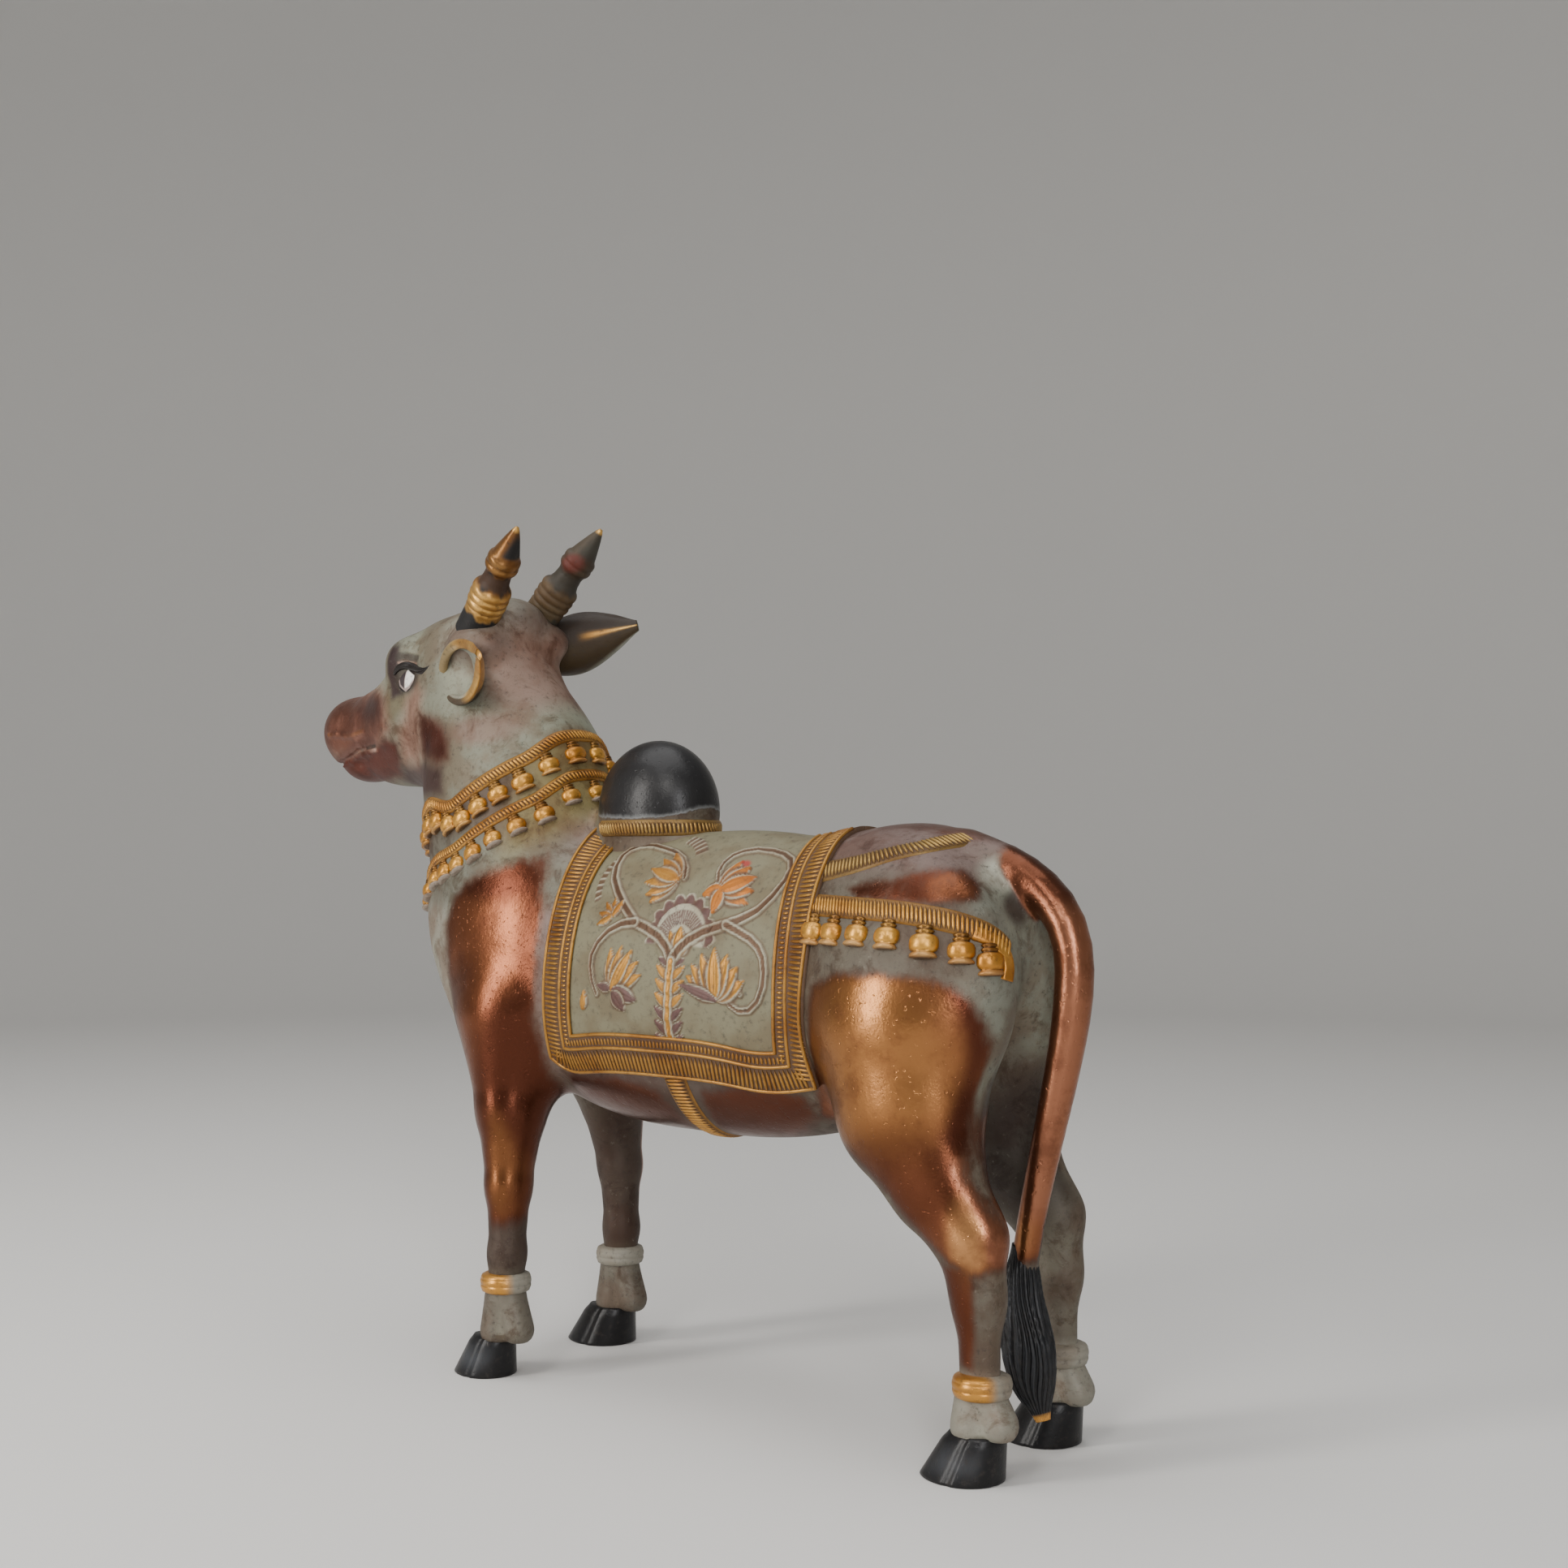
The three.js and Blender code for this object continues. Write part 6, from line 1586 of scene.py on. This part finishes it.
hung_bells = build_hung_bells()
for row, (level, drop, width, lip) in enumerate(BELL_ROWS):
    turns = (np.arange(COLLAR_BELLS) + 0.5 * row + 0.5) / COLLAR_BELLS * 2 * math.pi
    tops = on_neck(level + drop / 2, turns)
    hang_bells(f"collar_bells_{row + 1}", flesh, tops, -COLLAR_UP, drop, width, lip)


# The straps cast round the cloth: a band behind the hump, a girth under the belly, and two straps over
# each side of the rump. Seven bells hang from the lower one, which ends in a smooth strip.
HUMP_BAND_MIDDLE = -67, 0, 288
HUMP_BAND_TURN = math.radians(138)
HUMP_BAND_WIDTH = 8.5
HUMP_BAND_REACH = 44
HUMP_BAND_SLANT = 0.12
HUMP_BAND_STATIONS = 150
GIRTH_X = -17
GIRTH_WIDTH = 14
GIRTH_STATIONS = 90
GIRTH_TURN = 0.72 * math.pi, 1.28 * math.pi
UPPER_STRAP = ((68, 36, 266.5), (80.5, 36, 268), (92.7, 36.7, 270.4), (105, 35, 273.7), (119, 28.4, 277),
               (127, 18, 279.7), (132, 8, 281)), 12
LOWER_STRAP = ((68, 43, 251), (100, 50, 250), (128, 49, 248), (150, 42.5, 244), (162, 35, 239),
               (168, 28, 233)), 10.5
STRAP_STATIONS = 90
RUMP_BELLS = 74, 89, 104.5, 121, 137, 152, 162
RUMP_BELL_DROP = 15
RUMP_BELL_WIDTH = 13.2
RUMP_BELL_BELOW = 4
RUMP_BELL_LIP = 0.35
STRAP_END = (158, 40, 240), (163.5, 35, 237), (167.5, 30, 231), (168.8, 29, 225), (168.4, 30.5, 219)
STRAP_END_WIDTH = 7
STRAP_END_LIFT = 1.5
RUMP_STRAP_SLANT = 0.3
STRAP_OLIVE = (0.40, 0.25, 0.075, 1)


def humped(p):
    return meld(draped(p), mass(p, *HUMP), 8)


around = np.linspace(-HUMP_BAND_TURN, HUMP_BAND_TURN, HUMP_BAND_STATIONS)
ray = np.stack([np.cos(around), np.sin(around), np.zeros_like(around)], -1)
behind_hump = cast_to(humped, np.array(HUMP_BAND_MIDDLE, float), ray, HUMP_BAND_REACH)
strapped("hump_band", humped, behind_hump, HUMP_BAND_WIDTH, False, HUMP_BAND_SLANT, STRAP_OLIVE)
turn = np.linspace(*GIRTH_TURN, GIRTH_STATIONS)
ray = np.stack([np.zeros_like(turn), np.sin(turn), np.cos(turn)], -1)
under_belly = cast_to(draped, np.array([GIRTH_X, 0, GIRTH_AXIS_Z]), ray, GIRTH_REACH)
strapped("belly_girth", draped, under_belly, GIRTH_WIDTH, False, 0.0)
for side, hand in ((-1, "left"), (1, "right")):
    for name, (route, width), gold in (("upper", UPPER_STRAP, STRAP_OLIVE),
                                       ("lower", LOWER_STRAP, ROPE_GOLD)):
        route = eased(np.array(route) * (1, side, 1), STRAP_STATIONS)
        strapped(f"{name}_rump_strap_{hand}", draped, route, width, False, RUMP_STRAP_SLANT * -side, gold)
    tops = np.array([route[np.argmin(np.abs(route[:, 0] - x))] for x in RUMP_BELLS])
    tops = tops - (0, 0, RUMP_BELL_BELOW)
    hang_bells(f"rump_bells_{hand}", draped, tops, (0, 0, -1), RUMP_BELL_DROP, RUMP_BELL_WIDTH,
               RUMP_BELL_LIP)
    route = eased(np.array(STRAP_END) * (1, side, 1), STRAP_STATIONS)
    points, faces, places = laid_band(draped, route, flat_profile(STRAP_END_WIDTH, STRAP_END_LIFT))
    cast_piece(f"strap_end_{hand}", points, faces, relief_finish,
               {"paint": np.tile(ROPE_GOLD, (len(points), 1)), "gild": np.ones(len(points))})


# The feet: black hooves cleft in front, and an anklet with two cut lines round each leg. All are cast
# with the legs; only the left anklets kept their gilding.
FORE_HOOF = (-148, 47, 0.9), (-152, 45, 1.04)
HIND_HOOF = (152, 37, 1), (147, 35, 1)
HOOF_TOE = 23
HOOF_HEEL = 17
HOOF_HALF = 17
HOOF_HEIGHT = 21
HOOF_LEAN = 7
HOOF_NARROWING = 7
HOOF_CLEFT = 4.5
HOOF_LEVELS = 18
HOOF_TURNS = 96
FORE_ANKLET = -134, 47, 50
HIND_ANKLET = 160, 37, 42
ANKLET_RADIUS = 13.4
ANKLET_HEIGHT = 11
ANKLET_OUTLINE = ((-0.5, 0.6), (-0.46, 0.8), (-0.38, 0.93), (-0.2, 0.985), (-0.1, 0.985), (-0.06, 0.955),
                  (-0.02, 0.99), (0.1, 1), (0.2, 0.985), (0.24, 0.955), (0.28, 0.97), (0.38, 0.93),
                  (0.46, 0.8), (0.5, 0.6))
HOOF_BLACK = (0.006, 0.006, 0.007, 1)
HOOF_SHEEN = (0.06, 0.066, 0.075, 1)
ANKLET_GOLD = (0.56, 0.27, 0.055, 1)


def stacked(rings):
    """Closed mesh over rings of points, from the lowest up, with one point at each end."""
    count, turns = rings.shape[:2]
    points = np.vstack([rings.reshape(-1, 3), rings[0].mean(0), rings[-1].mean(0)])
    faces = grid_faces(count, turns, True)
    low, high, top = count * turns, count * turns + 1, (count - 1) * turns
    for t in range(turns):
        n = (t + 1) % turns
        faces += [(low, n, t), (high, top + t, top + n)]
    return points, turned_out(points, faces)


hoof_finish = marked_finish("black_hoof", 0.34, 0.3)
for side, hand in ((-1, "left"), (1, "right")):
    for hoof, at, shift, end in ((FORE_HOOF, FORE_ANKLET, FAR_FORELEG_SHIFT, "front"),
                                 (HIND_HOOF, HIND_ANKLET, FAR_HINDLEG_SHIFT, "hind")):
        x, y, size = hoof[side > 0]
        z = np.concatenate([[0, 0.6], np.linspace(1.6, HOOF_HEIGHT, HOOF_LEVELS - 2)])[:, None]
        turn = (np.arange(HOOF_TURNS) / HOOF_TURNS * 2 * math.pi)[None]
        t = z / HOOF_HEIGHT
        shrink = HOOF_NARROWING * t + 1.1 * (z < 0.3) + 1.2 * soft(t, 0.8, 1)
        toe = soft(-np.cos(turn), -0.25, 0.25)
        reach = toe * (HOOF_TOE - shrink) + (1 - toe) * (HOOF_HEEL - shrink * 0.7)
        half = HOOF_HALF - shrink * 0.8
        cleft = np.exp(-(half * np.sin(turn) / 1.5) ** 2) * (np.cos(turn) < 0) * soft(t, 1.1, 0.75)
        flute = np.exp(-((np.abs(np.sin(turn)) - 1) / 0.004) ** 2) * 0.5
        rings = np.stack([x + size * (HOOF_LEAN * t + (reach - HOOF_CLEFT * cleft) * np.cos(turn)),
                          y * side + size * (half - flute) * np.sin(turn), z + 0 * turn], -1)
        points, faces = stacked(rings)
        sheen = soft(np.sin(turn) * side, 0.55, 0.95) * soft(t, 0.0, 0.5) * soft(-t, -1, -0.4)
        sheen = np.append(sheen.ravel(), (0, 0))
        cast_piece(f"{end}_hoof_{hand}", points, faces, hoof_finish,
                   {"paint": tinted(HOOF_BLACK, (sheen * 0.6, HOOF_SHEEN))})
        share, bulge = np.array(ANKLET_OUTLINE).T
        middle = np.array(at) - shift * (side > 0)
        rings = np.stack([middle[0] + ANKLET_RADIUS * bulge[:, None] * np.cos(turn[0, ::2]),
                          middle[1] * side + ANKLET_RADIUS * bulge[:, None] * np.sin(turn[0, ::2]),
                          middle[2] + ANKLET_HEIGHT * share[:, None] + 0 * turn[0, ::2]], -1)
        points, faces = stacked(rings)
        outwards = (points[:, 1] - middle[1] * side) * side
        facing = (outwards - 0.45 * (points[:, 0] - middle[0])) / ANKLET_RADIUS
        gilded = soft(facing, -0.1, 0.45) * (side < 0)
        cast_piece(f"{end}_anklet_{hand}", points, faces, relief_finish,
                   {"paint": tinted(PATINA_PALE, (gilded, ANKLET_GOLD)), "gild": gilded})


# The tail's tuft: long locks of hair cut as grooves that run together to a point, painted black.
TUFT_ROUTE = (158, 0, 98), (157, 0, 84), (157, 0, 70), (160, 0, 52), (163, 0, 36), (168, 0, 20)
TUFT_RADII = 5.5, 8, 10.4, 11.8, 9.8, 2.5
TUFT_RINGS = 90
TUFT_TURNS = 168
TUFT_LOCKS = 23
route = eased(TUFT_ROUTE, TUFT_RINGS)
share = np.linspace(0, 1, TUFT_RINGS)
radii = np.interp(share, np.linspace(0, 1, len(TUFT_RADII)), TUFT_RADII)
radii = np.convolve(np.pad(radii, 6, mode="edge"), np.ones(13) / 13, "valid")
turn = np.arange(TUFT_TURNS) / TUFT_TURNS * 2 * math.pi
twist = 0.35 * np.sin(3 * share)[:, None] + 0.08 * np.sin(9 * share[:, None] + 3 * turn)
comb = (turn + twist) * TUFT_LOCKS / 2
groove = np.abs(np.sin(comb)) + 0.45 * np.abs(np.sin(comb * 3 + 1))
depth = (0.115 * soft(share, 0.02, 0.2))[:, None] * (groove - 0.75)
points, faces = tube(route, radii[:, None] * (1 + depth), TUFT_TURNS, (0, 1, 0))
tip = np.append(np.repeat(soft(share, 0.955, 0.975), TUFT_TURNS), (0, 1))
bright = np.append((soft(groove, 0.9, 1.35) * soft(share, 0.08, 0.3)[:, None]).ravel(), (0, 0))
cast_piece("tail_tuft", points, faces, hoof_finish,
           {"paint": tinted(HOOF_BLACK, (bright * 0.35, HOOF_SHEEN), (tip, ANKLET_GOLD))})


# The studio: a plain pale floor that bends up all round, a soft lamp above, three soft upright lamps
# whose reflections lie where the photograph has its highlights, and the photograph's view.
CAMERA_PLACE = (0.7285, -0.7726, 0.272)
CAMERA_AZIMUTH = math.radians(39.6)
LENS_MM = 46.43
SENSOR_MM = 36
HORIZON_SHIFT = 0.048
SWEEP_FLAT = 2.6
SWEEP_BEND = 1.4
SWEEP_HEIGHT = 3.6
SWEEP_TURNS = 96
FLOOR_PALE = (0.76, 0.75, 0.73, 1)
ROOM_PALE = (0.80, 0.795, 0.785, 1)
ROOM_LIGHT = 0.36


def studio_light(name, place, aim, size, power, tint=(1, 1, 1)):
    lamp = bpy.data.lights.new(name, "AREA")
    lamp.shape = "RECTANGLE"
    lamp.size, lamp.size_y = size
    lamp.energy = power
    lamp.color = tint
    light = bpy.data.objects.new(name, lamp)
    light.location = place
    reach = np.array(aim) - place
    yaw = math.atan2(reach[1], reach[0]) - math.pi / 2
    pitch = math.atan2(math.hypot(reach[0], reach[1]), -reach[2])
    light.rotation_euler = (pitch, 0, yaw)
    bpy.context.scene.collection.objects.link(light)


def stage():
    """A round sweep: the flat floor bends up into a wall all round, so that no horizon shows."""
    bend = np.linspace(0, math.pi / 2, 15)
    radius = np.concatenate([[0.8], SWEEP_FLAT + SWEEP_BEND * np.sin(bend), [SWEEP_FLAT + SWEEP_BEND]])
    height = np.concatenate([[0], SWEEP_BEND * (1 - np.cos(bend)), [SWEEP_HEIGHT]])
    turn = np.arange(SWEEP_TURNS) / SWEEP_TURNS * 2 * math.pi
    points = np.stack([np.outer(radius, np.cos(turn)), np.outer(radius, np.sin(turn)),
                       np.outer(height, np.ones(SWEEP_TURNS))], -1).reshape(-1, 3)
    faces = [face[::-1] for face in grid_faces(len(radius), SWEEP_TURNS, True)] + [tuple(range(SWEEP_TURNS))]
    mesh = bpy.data.meshes.new("floor")
    mesh.from_pydata(points.tolist(), [], faces)
    mesh.polygons.foreach_set("use_smooth", np.ones(len(mesh.polygons), bool))
    floor = bpy.data.objects.new("floor", mesh)
    bpy.context.scene.collection.objects.link(floor)
    material, _, shader = new_finish("pale_floor")
    shader.inputs["Base Color"].default_value = FLOOR_PALE
    shader.inputs["Roughness"].default_value = 0.8
    mesh.materials.append(material)
    world = bpy.data.worlds.new("studio")
    world.use_nodes = True
    background = world.node_tree.nodes["Background"]
    background.inputs["Color"].default_value = ROOM_PALE
    background.inputs["Strength"].default_value = ROOM_LIGHT
    bpy.context.scene.world = world


def camera():
    lens = bpy.data.cameras.new("view")
    lens.sensor_width = SENSOR_MM
    lens.lens = LENS_MM
    lens.shift_y = HORIZON_SHIFT
    view = bpy.data.objects.new("view", lens)
    view.location = CAMERA_PLACE
    view.rotation_euler = (math.pi / 2, 0, CAMERA_AZIMUTH)
    bpy.context.scene.collection.objects.link(view)
    bpy.context.scene.camera = view


stage()
camera()
studio_light("tall_window", (-0.64, -1.58, 0.72), (0, 0, 0.22), (0.34, 1.3), 22, (1, 0.97, 0.93))
studio_light("soft_front", (1.35, -1.25, 0.75), (0, 0, 0.22), (0.34, 1.1), 13, (0.98, 0.98, 1))
studio_light("upper_front", (0.52, -1.34, 1.3), (0, 0, 0.25), (0.3, 0.6), 7, (1, 0.98, 0.95))
studio_light("top", (-0.2, -0.3, 2.1), (0, 0, 0), (1.8, 1.8), 24)
